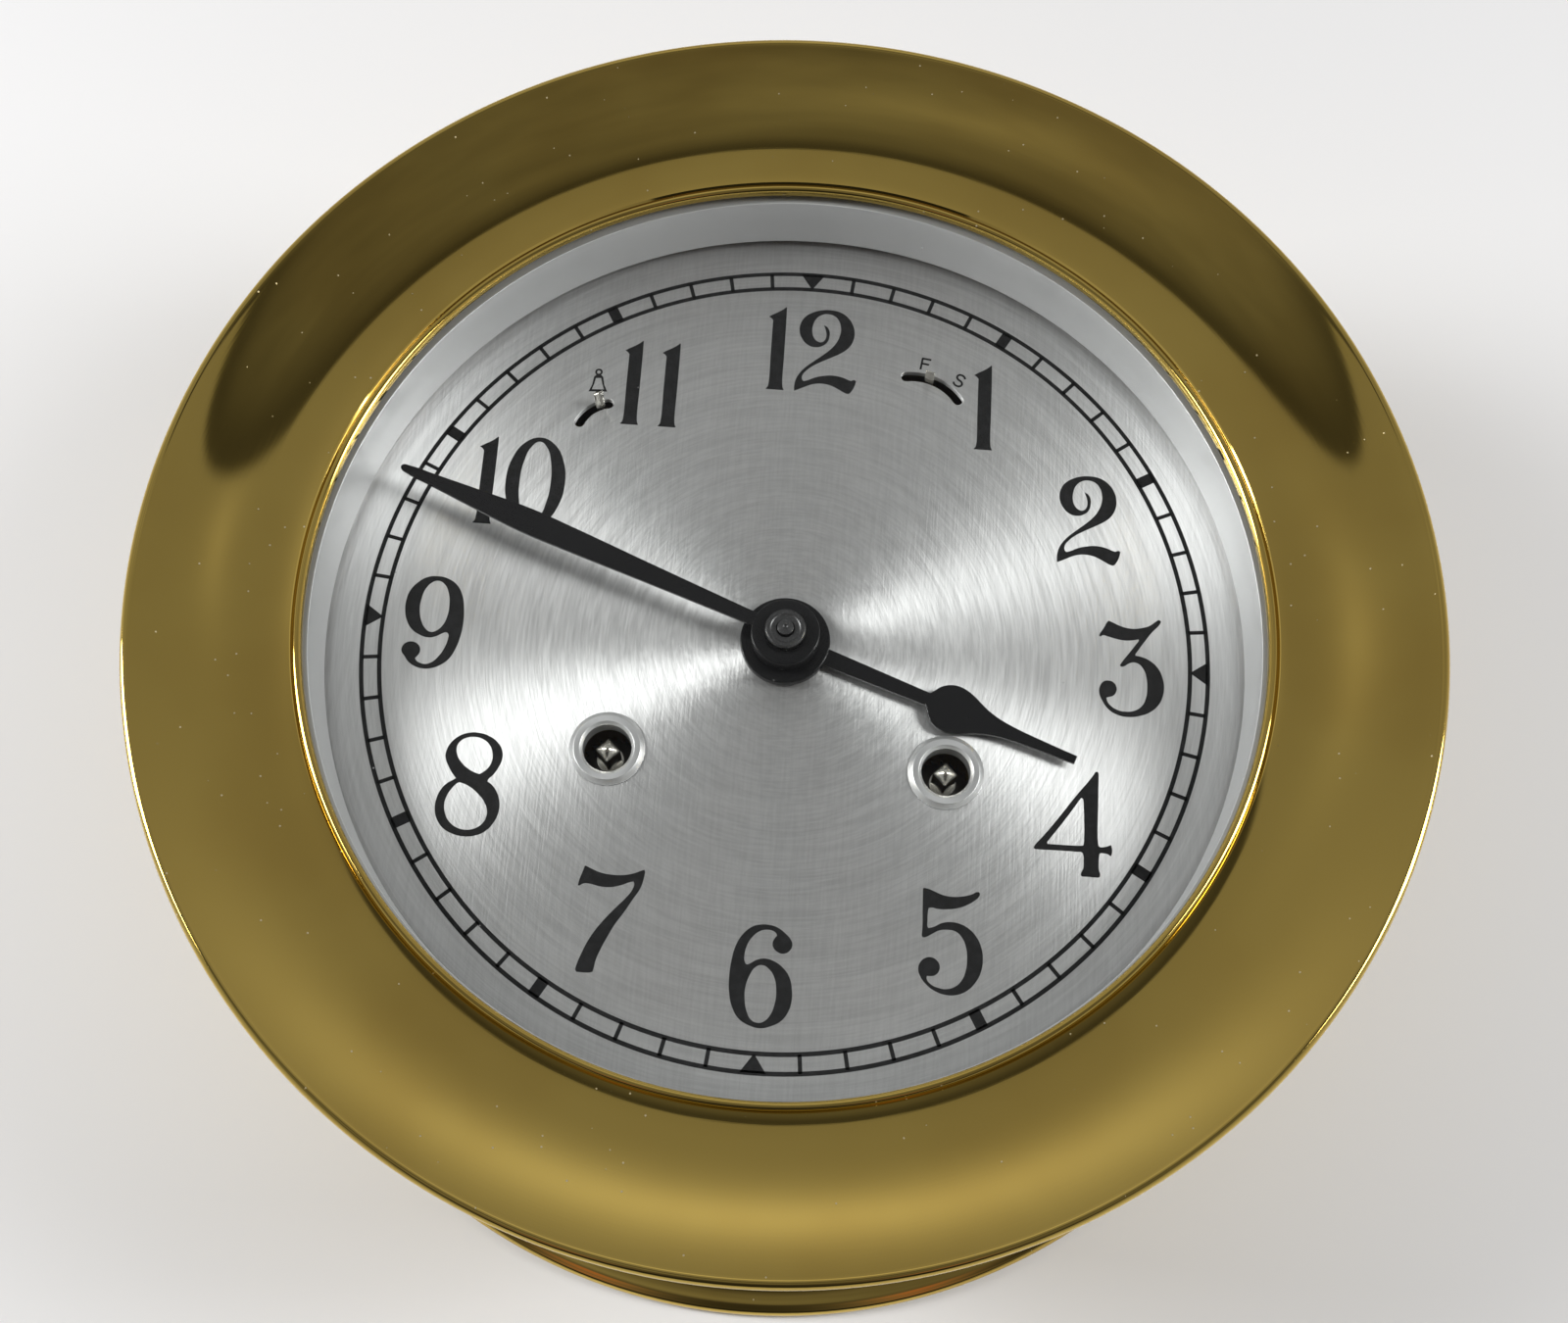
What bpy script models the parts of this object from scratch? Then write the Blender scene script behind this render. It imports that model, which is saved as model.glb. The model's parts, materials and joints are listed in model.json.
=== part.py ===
"""Ship's deck clock with a striking movement, lying on its back with its dial up.

+Z points out of the dial and +Y to twelve o'clock. The origin is the centre of the
back face that rests on the bulkhead or the table. All sizes are in metres.
"""

import math

import bmesh
import bpy
from mathutils import Vector

# Fits
GAP = 0.0003  # between two pieces that touch
RUN = 0.0003  # round a shaft that turns
SKIRT_FIT = 0.0004  # between the drum and the bezel's skirt, which swings over it

# Heights, up from the back face
DIAL_TOP = 0.0740
DIAL_THICKNESS = 0.0012
LIP_RISE = 0.0169  # bezel's inner lip above the dial
RIM_RISE = 0.02425  # bezel's outer rim above the dial
PLATE_THICKNESS = 0.0020
PLATE_SPACE = 0.0283  # between the movement's two plates
MOTION_WORK_SPACE = 0.0145  # between the front plate and the dial

# Radii
OPENING_RADIUS = 0.0755  # bezel's inner lip
RING_RADIUS = OPENING_RADIUS - 0.0003  # inner face of the reflector ring
GLASS_RADIUS = OPENING_RADIUS + 0.0038
DRUM_RADIUS = OPENING_RADIUS + 0.0125
DRUM_WALL = 0.0020
LEDGE_WIDTH = 0.0050
RIM_RADIUS = DRUM_RADIUS + 0.01325
BASE_RADIUS = DRUM_RADIUS + 0.0171
SKIRT_WALL = 0.0020
BACK_PLATE_RADIUS = 0.0620
ROUND_LARGE = 48  # sides of the case's rings
ROUND_SMALL = 8  # sides of shafts, holes and screws

# Case and bezel sections
BASE_BEAD = 0.0013
COVE_HEIGHT = 0.0194
RECESS_DEPTH = 0.0042
COVER_THICKNESS = 0.0017
COVER_RADIUS = DRUM_RADIUS - 0.0013
MOUNT_HOLE_RADIUS = 0.0024
MOUNT_CIRCLE = DRUM_RADIUS + 0.0085
RIM_BEAD = 0.00095
LIP_HEIGHT = 0.0010
GLASS_THICKNESS = 0.0016
GASKET_THICKNESS = 0.0006
RING_WALL = 0.0007
SKIRT_DEPTH = 0.0080

# Hinge at nine o'clock and catch at three
HINGE_OFFSET = 0.0036  # axis outside the skirt
KNUCKLE_RADIUS = 0.0030
HINGE_PIN_RADIUS = 0.0012
HINGE_HALF_WIDTH = 0.0140
MIDDLE_KNUCKLE_HALF = 0.0055
LEAF_THICKNESS = 0.0015
CATCH_WIDTH = 0.0120

# Screws
SCREW_RADIUS = 0.0010
SCREW_HEAD_RADIUS = 0.0019
SCREW_HEAD = 0.0013
SCREW_LENGTH = 0.0060

# Hands, from the centre out; each blade row is (distance, half width)
HAND_THICKNESS = 0.0008
HOUR_BOSS_RADIUS = 0.0074
MINUTE_BOSS_RADIUS = 0.0056
NUT_RADIUS = 0.0034
HOUR_HAND_LENGTH = 0.0512
MINUTE_HAND_LENGTH = RING_RADIUS - 0.0045
HOUR_ANGLE = 109.4  # degrees clockwise from twelve
MINUTE_ANGLE = 290.5
HOUR_BLADE = (
    (0.0060, 0.0016), (0.0254, 0.0012), (0.0262, 0.0023), (0.0278, 0.0036), (0.0296, 0.0041),
    (0.0318, 0.0035), (0.0345, 0.0023), (0.0375, 0.0016), (0.0415, 0.0012),
)
HOUR_TIP_HALF = 0.0006
MINUTE_BLADE = ((0.0045, 0.0012), (0.0460, 0.0023))
MINUTE_NECK = (0.0052, 0.0008)  # back from the tip, half width
MINUTE_TIP_HALF = 0.0005

# Dial fittings
WINDING_X = 0.0274
WINDING_Y = -0.0200
WINDING_SQUARE = 0.0030
GROMMET_FLANGE = 0.00615
GROMMET_BARREL = 0.0049
GROMMET_BORE = 0.00395
CENTRE_HOLE = 0.0042
DIAL_FOOT_RADIUS = 0.0018
REGULATOR_AXIS = (0.0189, 0.0416)
REGULATOR_REACH = 0.0094
REGULATOR_REST = 73.9  # degrees anticlockwise from three o'clock
REGULATOR_SLOT = (35.9, 97.9)
REGULATOR_SLOT_WIDTH = 0.0015
STRIKE_LEVER_AXIS = (-0.0324, 0.0357)
STRIKE_LEVER_REACH = 0.0062
STRIKE_LEVER_REST = 113.8
STRIKE_SLOT = (103.0, 156.0)
STRIKE_SLOT_WIDTH = 0.0013
TAB_WIDTH = 0.0018
TAB_THICKNESS = 0.0005

# Toothed pieces: (teeth, module)
ADDENDUM = 0.7  # of the module
DEDENDUM = 1.3
GREAT_WHEEL = (36, 0.0012)
BARREL_PINION = (6, 0.0012)
INTERMEDIATE_WHEEL = (24, 0.0010)
CENTRE_PINION = (6, 0.0010)
CENTRE_WHEEL = (48, 0.0005)
THIRD_PINION = (6, 0.0005)
THIRD_WHEEL = (48, 0.00045)
FOURTH_PINION = (6, 0.00045)
FOURTH_WHEEL = (45, 0.0004)
ESCAPE_PINION = (6, 0.0004)
CANNON_PINION = (10, 0.0006)
MINUTE_WHEEL = (30, 0.0006)
MINUTE_PINION = (8, 0.0006)
HOUR_WHEEL = (32, 0.0006)
PIN_WHEEL = (36, 0.00065)
FLY_PINION = (6, 0.00065)
WHEEL_THICKNESS = 0.0012
PINION_LENGTH = 0.0022
ARBOR_RADIUS = 0.0007
STOUT_ARBOR_RADIUS = 0.0013
PIVOT_RADIUS = 0.0006
BARREL_DRUM_RADIUS = 0.0185
BARREL_WALL = 0.0010
WINDING_ARBOR_RADIUS = 0.0022
MAINSPRING_THICKNESS = 0.0005
MAINSPRING_TURNS = 3
ESCAPE_TEETH = 15
ESCAPE_RADIUS = 0.0044
ESCAPE_DEPTH = 0.0011
RATCHET_TEETH = 24
RATCHET_RADIUS = 0.0060
BALANCE_RADIUS = 0.0080
BELL_RADIUS = 0.0550
BELL_WALL = 0.0015
HAMMER_HEAD_RADIUS = 0.0030
LIFTING_PINS = 8
LIFTING_PIN_RADIUS = 0.0005
LIFTING_PIN_CIRCLE = 0.0095
HAMMER_TO_PIN_ARBOR = 0.0145
PILLAR_RADIUS = 0.0030
PILLAR_CIRCLE = 0.0560
PILLAR_ANGLES = (8, 90, 172, 270)

# Heights that follow from the sizes above
DIAL_BACK = DIAL_TOP - DIAL_THICKNESS
FRONT_TOP = DIAL_BACK - MOTION_WORK_SPACE
FRONT_BOTTOM = FRONT_TOP - PLATE_THICKNESS
BACK_TOP = FRONT_BOTTOM - PLATE_SPACE
BACK_BOTTOM = BACK_TOP - PLATE_THICKNESS
LIP_TOP = DIAL_TOP + LIP_RISE
RIM_TOP = DIAL_TOP + RIM_RISE
LIP_BOTTOM = LIP_TOP - LIP_HEIGHT
GLASS_TOP = LIP_BOTTOM - GAP
GLASS_BOTTOM = GLASS_TOP - GLASS_THICKNESS
BEZEL_SEAT = LIP_TOP - 0.0049
SKIRT_BOTTOM = BEZEL_SEAT - SKIRT_DEPTH
DRUM_INNER = DRUM_RADIUS - DRUM_WALL
LEDGE_RADIUS = DRUM_INNER - LEDGE_WIDTH
SKIRT_INNER = DRUM_RADIUS + SKIRT_FIT
SKIRT_OUTER = SKIRT_INNER + SKIRT_WALL
HINGE_X = -(SKIRT_OUTER + HINGE_OFFSET)
HINGE_Z = SKIRT_BOTTOM
FRONT_PLATE_RADIUS = DRUM_INNER - GAP
DIAL_RADIUS = DRUM_INNER - 0.0005
LOW_WHEEL = BACK_TOP + 0.0020  # great wheels
MIDDLE_WHEEL = BACK_TOP + 0.0080  # centre wheel
THIRD_LEVEL = BACK_TOP + 0.0160
BARREL_FLOOR = LOW_WHEEL + 0.0020
BARREL_TOP = FRONT_BOTTOM - 0.0073
UPPER_WHEEL = FRONT_BOTTOM - 0.0043  # intermediate and pin wheels, above the barrels
FOURTH_LEVEL = FRONT_TOP + 0.0017
ESCAPE_LEVEL = FRONT_TOP + 0.0042
BALANCE_LEVEL = FRONT_TOP + 0.0079
COCK_BOTTOM = FRONT_TOP + 0.0112
MOTION_LEVEL = FRONT_TOP + 0.0021
HOUR_WHEEL_LEVEL = FRONT_TOP + 0.0057
HOUR_BOSS_BOTTOM = DIAL_TOP + 0.0006
HOUR_BLADE_BOTTOM = DIAL_TOP + 0.0015
MINUTE_BOSS_BOTTOM = DIAL_TOP + 0.0030
MINUTE_BOSS_TOP = DIAL_TOP + 0.0063
NUT_BOTTOM = MINUTE_BOSS_TOP + GAP
NUT_TOP = DIAL_TOP + 0.0080
BELL_RIM = BACK_BOTTOM - 0.0020
BELL_FLOOR = RECESS_DEPTH + 0.0018

BRASS = ((0.62, 0.46, 0.17), 0.12, 1.0)
TRAIN_BRASS = ((0.70, 0.53, 0.24), 0.30, 1.0)
SILVERED = ((0.62, 0.63, 0.64), 0.32, 1.0)
STEEL = ((0.45, 0.45, 0.47), 0.22, 1.0)
BLACK = ((0.012, 0.012, 0.013), 0.35, 0.0)
CLEAR = ((0.95, 0.97, 0.96), 0.02, 0.0)
RUBBER = ((0.30, 0.30, 0.30), 0.70, 0.0)


# ---------------------------------------------------------------- helpers


def start_scene():
    """Removes every object and makes the collections for the parts and for the cutters."""
    for old in list(bpy.data.objects):
        bpy.data.objects.remove(old)
    for name, hidden in (("ships_deck_clock", False), ("cutters", True)):
        group = bpy.data.collections.new(name)
        group.hide_render = hidden
        bpy.context.scene.collection.children.link(group)


def add(name, mesh, at=(0, 0), turn=0.0):
    """A mesh object whose origin is on the upright axis through at, turned by degrees."""
    piece = bpy.data.objects.new(name, mesh)
    piece.location = (at[0], at[1], 0)
    piece.rotation_euler.z = math.radians(turn)
    bpy.data.collections["ships_deck_clock"].objects.link(piece)
    return piece


def finish(piece, look):
    """Gives a piece its own material from its colour, roughness and metallic value."""
    colour, roughness, metallic = look
    material = bpy.data.materials.new(piece.name + "_finish")
    material.use_nodes = True
    shader = material.node_tree.nodes["Principled BSDF"]
    shader.inputs["Base Color"].default_value = (*colour, 1)
    shader.inputs["Roughness"].default_value = roughness
    shader.inputs["Metallic"].default_value = metallic
    if look is CLEAR:
        shader.inputs["Transmission Weight"].default_value = 1.0
    piece.data.materials.clear()
    piece.data.materials.append(material)
    return piece


def turned(name, profile, at=(0, 0), sides=ROUND_SMALL, turn=0.0):
    """A turned piece from (radius, height) points that run down its outer side.

    A profile whose ends both lie on the axis is a solid shaft; any other is a closed ring.
    """
    mesh = bpy.data.meshes.new(name)
    count = len(profile)
    edges = [(i, i + 1) for i in range(count - 1)]
    on_axis = profile[0][0] == 0 and profile[-1][0] == 0
    if not on_axis:
        edges.append((count - 1, 0))
    mesh.from_pydata([(r, 0, z) for r, z in profile], edges, [])
    piece = add(name, mesh, at, turn)
    screw = piece.modifiers.new("Turn", "SCREW")
    screw.steps = sides
    screw.render_steps = sides
    screw.use_merge_vertices = True
    screw.merge_threshold = 0.00001
    return piece


def shaft(name, steps, at=(0, 0), sides=ROUND_SMALL, turn=0.0):
    """A solid stepped shaft; steps are (bottom height, radius) from the top one down, then the foot."""
    profile = [(0, steps[0][0])]
    for (top, radius), (bottom, _) in zip(steps, steps[1:]):
        profile += [(radius, top), (radius, bottom)]
    profile.append((0, steps[-1][0]))
    return turned(name, profile, at, sides, turn)


def ring(name, inner, outer, bottom, top, at=(0, 0), sides=ROUND_SMALL):
    """A plain ring with square edges."""
    profile = [(inner, top), (outer, top), (outer, bottom), (inner, bottom)]
    return turned(name, profile, at, sides)


def circle(radius, centre=(0, 0), sides=ROUND_SMALL):
    return [
        (centre[0] + radius * math.cos(2 * math.pi * i / sides),
         centre[1] + radius * math.sin(2 * math.pi * i / sides))
        for i in range(sides)
    ]


def arc(centre, radii, start, end, steps):
    """Points along part of an ellipse, from start to end in degrees, both ends included."""
    angles = [math.radians(start + (end - start) * i / steps) for i in range(steps + 1)]
    return [(centre[0] + radii[0] * math.cos(a), centre[1] + radii[1] * math.sin(a)) for a in angles]


def plate(name, outline, bottom, top, holes=(), at=(0, 0), turn=0.0):
    """A flat piece: an outline with holes, filled and given its thickness, as a closed mesh."""
    curve = bpy.data.curves.new(name, "CURVE")
    curve.dimensions = "2D"
    curve.fill_mode = "BOTH"
    curve.extrude = (top - bottom) / 2
    for loop in (outline, *holes):
        spline = curve.splines.new("POLY")
        spline.points.add(len(loop) - 1)
        for point, (x, y) in zip(spline.points, loop):
            point.co = (x, y, 0, 1)
        spline.use_cyclic_u = True
    guide = bpy.data.objects.new(name + "_outline", curve)
    bpy.context.scene.collection.objects.link(guide)
    graph = bpy.context.evaluated_depsgraph_get()
    mesh = bpy.data.meshes.new_from_object(guide.evaluated_get(graph))
    bpy.data.objects.remove(guide)
    edit = bmesh.new()
    edit.from_mesh(mesh)
    bmesh.ops.remove_doubles(edit, verts=edit.verts, dist=0.000001)
    bmesh.ops.translate(edit, verts=edit.verts, vec=(0, 0, (top + bottom) / 2))
    bmesh.ops.recalc_face_normals(edit, faces=edit.faces)
    edit.to_mesh(mesh)
    edit.free()
    mesh.name = name
    return add(name, mesh, at, turn)


def block(name, low, high, at=(0, 0), turn=0.0):
    """A box between two corners."""
    mesh = bpy.data.meshes.new(name)
    edit = bmesh.new()
    bmesh.ops.create_cube(edit, size=1)
    size = Vector(high) - Vector(low)
    bmesh.ops.scale(edit, verts=edit.verts, vec=size)
    bmesh.ops.translate(edit, verts=edit.verts, vec=(Vector(high) + Vector(low)) / 2)
    edit.to_mesh(mesh)
    edit.free()
    return add(name, mesh, at, turn)


def lie_along_y(piece, half_width):
    """Turns an upright flat piece so that its outline's y becomes height and its thickness lies along Y."""
    edit = bmesh.new()
    edit.from_mesh(piece.data)
    for vertex in edit.verts:
        x, height, across = vertex.co
        vertex.co = (x, half_width - across, height)
    edit.to_mesh(piece.data)
    edit.free()
    return piece


def join(target, others, operation):
    for other in others:
        boolean = target.modifiers.new(other.name, "BOOLEAN")
        boolean.operation = operation
        boolean.object = other
        other.hide_render = True
        other.display_type = "WIRE"
        bpy.data.collections["ships_deck_clock"].objects.unlink(other)
        bpy.data.collections["cutters"].objects.link(other)
    return target


def fuse(target, *others):
    return join(target, others, "UNION")


def cut(target, *others):
    return join(target, others, "DIFFERENCE")


def settle():
    """Makes each part's modifiers real and shades its round faces smooth."""
    graph = bpy.context.evaluated_depsgraph_get()
    parts = [part for part in bpy.data.collections["ships_deck_clock"].objects if part.type == "MESH"]
    meshes = [bpy.data.meshes.new_from_object(part.evaluated_get(graph)) for part in parts]
    for part, mesh in zip(parts, meshes):
        part.modifiers.clear()
        part.data = mesh
        mesh.shade_smooth()
        mesh.set_sharp_from_angle(angle=math.radians(30))
    for cutter in list(bpy.data.collections["cutters"].objects):
        bpy.data.objects.remove(cutter)


def carry(name, at, pieces):
    """Hangs pieces on an empty that stands on their joint's axis."""
    pivot = bpy.data.objects.new(name, None)
    pivot.location = at
    bpy.data.collections["ships_deck_clock"].objects.link(pivot)
    for piece in pieces:
        piece.parent = pivot
        piece.location = piece.location - pivot.location


def polar(radius, degrees, centre=(0, 0)):
    angle = math.radians(degrees)
    return (centre[0] + radius * math.cos(angle), centre[1] + radius * math.sin(angle))


def bearing(start, end):
    """Direction from one place to another, in degrees anticlockwise from +X."""
    return math.degrees(math.atan2(end[1] - start[1], end[0] - start[0]))


def mesh_distance(first, second):
    """Centre distance of two toothed pieces that share a module."""
    return (first[0] * first[1] + second[0] * second[1]) / 2


def teeth(gear, toward, tooth):
    """Outline of a toothed piece with a tooth, or else a gap, pointing toward a direction."""
    count, module = gear
    pitch = count * module / 2
    step = 360 / count
    start = toward + (0 if tooth else step / 2)
    points = []
    for i in range(count):
        points.append(polar(pitch + ADDENDUM * module, start + i * step))
        points.append(polar(pitch - DEDENDUM * module, start + (i + 0.5) * step))
    return points


def ends_between(circle_a, circle_b, left):
    """Where two circles, each (centre, radius), cross, on the left or right of the way from a to b."""
    (a, radius_a), (b, radius_b) = circle_a, circle_b
    apart = math.dist(a, b)
    along = (radius_a**2 - radius_b**2 + apart**2) / (2 * apart)
    aside = math.sqrt(radius_a**2 - along**2) * (1 if left else -1)
    direction = ((b[0] - a[0]) / apart, (b[1] - a[1]) / apart)
    return (a[0] + along * direction[0] - aside * direction[1],
            a[1] + along * direction[1] + aside * direction[0])


# Where each arbor stands, seen from the front
CENTRE = (0.0, 0.0)
TIME_BARREL = (WINDING_X, WINDING_Y)
STRIKE_BARREL = (-WINDING_X, WINDING_Y)
INTERMEDIATE = ends_between(
    (CENTRE, mesh_distance(INTERMEDIATE_WHEEL, CENTRE_PINION)),
    (TIME_BARREL, mesh_distance(GREAT_WHEEL, BARREL_PINION)), True,
)
THIRD = polar(mesh_distance(CENTRE_WHEEL, THIRD_PINION), 100)
FOURTH = polar(mesh_distance(THIRD_WHEEL, FOURTH_PINION), 60, THIRD)
ESCAPE = polar(mesh_distance(FOURTH_WHEEL, ESCAPE_PINION), 35, FOURTH)
LEVER_FROM_ESCAPE = 0.0066
PALLET_ARBOR = polar(LEVER_FROM_ESCAPE, bearing(ESCAPE, REGULATOR_AXIS), ESCAPE)
MINUTE_STUD = (0.0, -mesh_distance(CANNON_PINION, MINUTE_WHEEL))
PIN_ARBOR = polar(mesh_distance(GREAT_WHEEL, BARREL_PINION), 100, STRIKE_BARREL)
FLY_ARBOR = polar(mesh_distance(PIN_WHEEL, FLY_PINION), 60, PIN_ARBOR)
HAMMER_ARBOR = polar(HAMMER_TO_PIN_ARBOR, 140, PIN_ARBOR)
HAMMER_HEAD = polar(BELL_RADIUS - 0.0065, 185)
COCK_FOOT = polar(0.0143, 17, REGULATOR_AXIS)
CLICK_OFFSET = 0.0090
CLICK_BEARING = 45
LEDGE_SCREW_CIRCLE = LEDGE_RADIUS + LEDGE_WIDTH / 2
COVER_SCREW_CIRCLE = LEDGE_RADIUS + 0.0029
DIAL_FOOT_CIRCLE = DIAL_RADIUS - 0.0135


# ---------------------------------------------------------------- case and bezel


def screw(name, at, head_top, point_up):
    """A cheese-head screw whose shank points down, or up for one driven in from behind."""
    sign = 1 if point_up else -1
    ends = (head_top, head_top + sign * SCREW_HEAD, head_top + sign * (SCREW_HEAD + SCREW_LENGTH))
    if point_up:
        steps = [(ends[2], SCREW_RADIUS), (ends[1], SCREW_HEAD_RADIUS), (ends[0], 0)]
    else:
        steps = [(ends[0], SCREW_HEAD_RADIUS), (ends[1], SCREW_RADIUS), (ends[2], 0)]
    return finish(shaft(name, steps, at), STEEL)


def make_case():
    """Drum with a flared base flange: the ledge inside carries the movement's front plate."""
    cove_foot = BASE_RADIUS - 0.0018
    bead = (BASE_RADIUS - BASE_BEAD, BASE_BEAD)
    cove_top = 2 * BASE_BEAD + COVE_HEIGHT
    cove = arc((cove_foot, cove_top), (DRUM_RADIUS - cove_foot, 0.0003 - COVE_HEIGHT), 0, 90, 6)
    profile = [(DRUM_RADIUS, BEZEL_SEAT - GAP), *cove]
    profile += arc(bead, (BASE_BEAD, BASE_BEAD), 90, -90, 3)
    profile += [
        (COVER_RADIUS + GAP, 0), (COVER_RADIUS + GAP, RECESS_DEPTH), (LEDGE_RADIUS, RECESS_DEPTH),
        (LEDGE_RADIUS, FRONT_BOTTOM - GAP), (DRUM_INNER, FRONT_BOTTOM - GAP), (DRUM_INNER, BEZEL_SEAT - GAP),
    ]
    case = turned("case", profile, sides=ROUND_LARGE)
    hole = SCREW_RADIUS + RUN
    for i in range(3):
        clock = 90 + 120 * i
        place = polar(MOUNT_CIRCLE, clock)
        cut(case, shaft("mounting_hole", [(0.03, MOUNT_HOLE_RADIUS), (-0.01, 0)], place))
        ledge_hole = [(FRONT_TOP, hole), (FRONT_TOP - SCREW_LENGTH - 0.001, 0)]
        cut(case, shaft("ledge_hole", ledge_hole, polar(LEDGE_SCREW_CIRCLE, clock + 60)))
        top = RECESS_DEPTH + SCREW_LENGTH
        cut(case, shaft("cover_hole", [(top, hole), (0.001, 0)], polar(COVER_SCREW_CIRCLE, clock + 60)))
    return finish(case, BRASS)


def make_back_cover():
    top = RECESS_DEPTH - GAP
    bottom = top - COVER_THICKNESS
    places = [polar(COVER_SCREW_CIRCLE, 150 + 120 * i) for i in range(3)]
    holes = [circle(SCREW_RADIUS + RUN, place) for place in places]
    cover = plate("back_cover", circle(COVER_RADIUS, sides=ROUND_LARGE), bottom, top, holes)
    finish(cover, BRASS)
    for i, place in enumerate(places):
        screw(f"back_cover_screw_{i + 1}", place, bottom - GAP - SCREW_HEAD, True)


def bezel_profile():
    """Section of the dished bezel, over its front, round its rim and back inside its skirt."""
    face_start = OPENING_RADIUS + 0.0016
    face_end = RIM_RADIUS - 0.0017
    face_low = LIP_TOP + 0.0004
    face_high = RIM_TOP - 0.0004
    steps = 6
    front = [
        (face_start + (face_end - face_start) * i / steps,
         face_low + (face_high - face_low) * (i / steps) ** 1.8)
        for i in range(steps + 1)
    ]
    bead = arc((RIM_RADIUS - RIM_BEAD, RIM_TOP - RIM_BEAD), (RIM_BEAD, RIM_BEAD), 90, -90, 4)
    back = arc(
        (SKIRT_OUTER, RIM_TOP - 0.0028), (RIM_RADIUS - 0.0020 - SKIRT_OUTER, BEZEL_SEAT + 0.0005 - RIM_TOP + 0.0028),
        0, 90, 3,
    )
    inside = [
        (SKIRT_OUTER, SKIRT_BOTTOM), (SKIRT_INNER, SKIRT_BOTTOM), (SKIRT_INNER, BEZEL_SEAT),
        (GLASS_RADIUS + GAP, BEZEL_SEAT), (GLASS_RADIUS + GAP, LIP_BOTTOM),
    ]
    return [(OPENING_RADIUS, LIP_BOTTOM), (OPENING_RADIUS, LIP_TOP), *front, *bead, *back, *inside]


def make_bezel():
    """Bezel with its glass, gasket and reflector ring, all carried by the hinge."""
    bezel = finish(turned("bezel", bezel_profile(), sides=ROUND_LARGE), BRASS)
    outline = circle(GLASS_RADIUS, sides=ROUND_LARGE)
    crystal = finish(plate("crystal", outline, GLASS_BOTTOM, GLASS_TOP), CLEAR)
    gasket_top = GLASS_BOTTOM - GAP
    gasket_bottom = gasket_top - GASKET_THICKNESS
    gasket_inner = RING_RADIUS + RING_WALL + GAP
    gasket = finish(
        ring("crystal_gasket", gasket_inner, GLASS_RADIUS, gasket_bottom, gasket_top, sides=ROUND_LARGE), RUBBER)
    flange_top = gasket_bottom - GAP
    sleeve = RING_RADIUS + RING_WALL
    profile = [
        (RING_RADIUS, gasket_top), (sleeve, gasket_top), (sleeve, flange_top), (GLASS_RADIUS, flange_top),
        (GLASS_RADIUS, flange_top - 0.0012), (sleeve, flange_top - 0.0012),
        (sleeve, DIAL_TOP + 0.0015), (RING_RADIUS, DIAL_TOP + 0.0015),
    ]
    reflector = finish(turned("reflector_ring", profile, sides=ROUND_LARGE), SILVERED)
    carry("bezel_hinge_axis", (HINGE_X, 0, HINGE_Z), (bezel, crystal, gasket, reflector, make_bezel_leaf()))


def knuckle_cut(name, half_width, radius):
    """A rod along the hinge's axis, for a bore or for the pin."""
    rod = plate(name, circle(radius, (HINGE_X, HINGE_Z)), 0, 2 * half_width)
    return lie_along_y(rod, half_width)


def make_bezel_leaf():
    """Two outer knuckles and the plate that fastens them to the bezel's skirt."""
    face = -(SKIRT_OUTER + GAP)
    barrel = arc((HINGE_X, HINGE_Z), (KNUCKLE_RADIUS, KNUCKLE_RADIUS), 60, 345, 9)
    foot = HINGE_Z + KNUCKLE_RADIUS + 0.0004
    outline = [*barrel, (face, HINGE_Z + 0.0010), (face, BEZEL_SEAT), (face - LEAF_THICKNESS, BEZEL_SEAT),
               (face - LEAF_THICKNESS, foot)]
    leaf = lie_along_y(plate("hinge_bezel_leaf", outline, 0, 2 * HINGE_HALF_WIDTH), HINGE_HALF_WIDTH)
    reach = KNUCKLE_RADIUS + 0.0010
    half = MIDDLE_KNUCKLE_HALF + GAP
    slot = block("leaf_slot", (HINGE_X - reach, -half, HINGE_Z - reach), (face + 0.001, half, foot))
    cut(leaf, slot, knuckle_cut("leaf_bore", HINGE_HALF_WIDTH + 0.001, HINGE_PIN_RADIUS + RUN))
    return finish(leaf, BRASS)


def make_hinge():
    """Fixed leaf on the drum's side, with the middle knuckle, and the pin."""
    face = -(DRUM_RADIUS + GAP)
    plate_top = HINGE_Z - KNUCKLE_RADIUS - 0.0005
    plate_bottom = plate_top - 0.0125
    leaf = block("hinge_case_leaf", (face - 0.0019, -HINGE_HALF_WIDTH, plate_bottom), (face, HINGE_HALF_WIDTH, plate_top))
    barrel = arc((HINGE_X, HINGE_Z), (KNUCKLE_RADIUS, KNUCKLE_RADIUS), -45, 225, 9)
    outline = [*barrel, (HINGE_X, plate_top - 0.0030), (face - 0.0004, plate_top - 0.0030), (face - 0.0004, plate_top - 0.0002)]
    knuckle = lie_along_y(plate("middle_knuckle", outline, 0, 2 * MIDDLE_KNUCKLE_HALF), MIDDLE_KNUCKLE_HALF)
    fuse(leaf, knuckle)
    cut(leaf, knuckle_cut("knuckle_bore", MIDDLE_KNUCKLE_HALF + 0.001, HINGE_PIN_RADIUS + RUN))
    finish(leaf, BRASS)
    finish(knuckle_cut("hinge_pin", HINGE_HALF_WIDTH + 0.0010, HINGE_PIN_RADIUS), STEEL)


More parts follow.
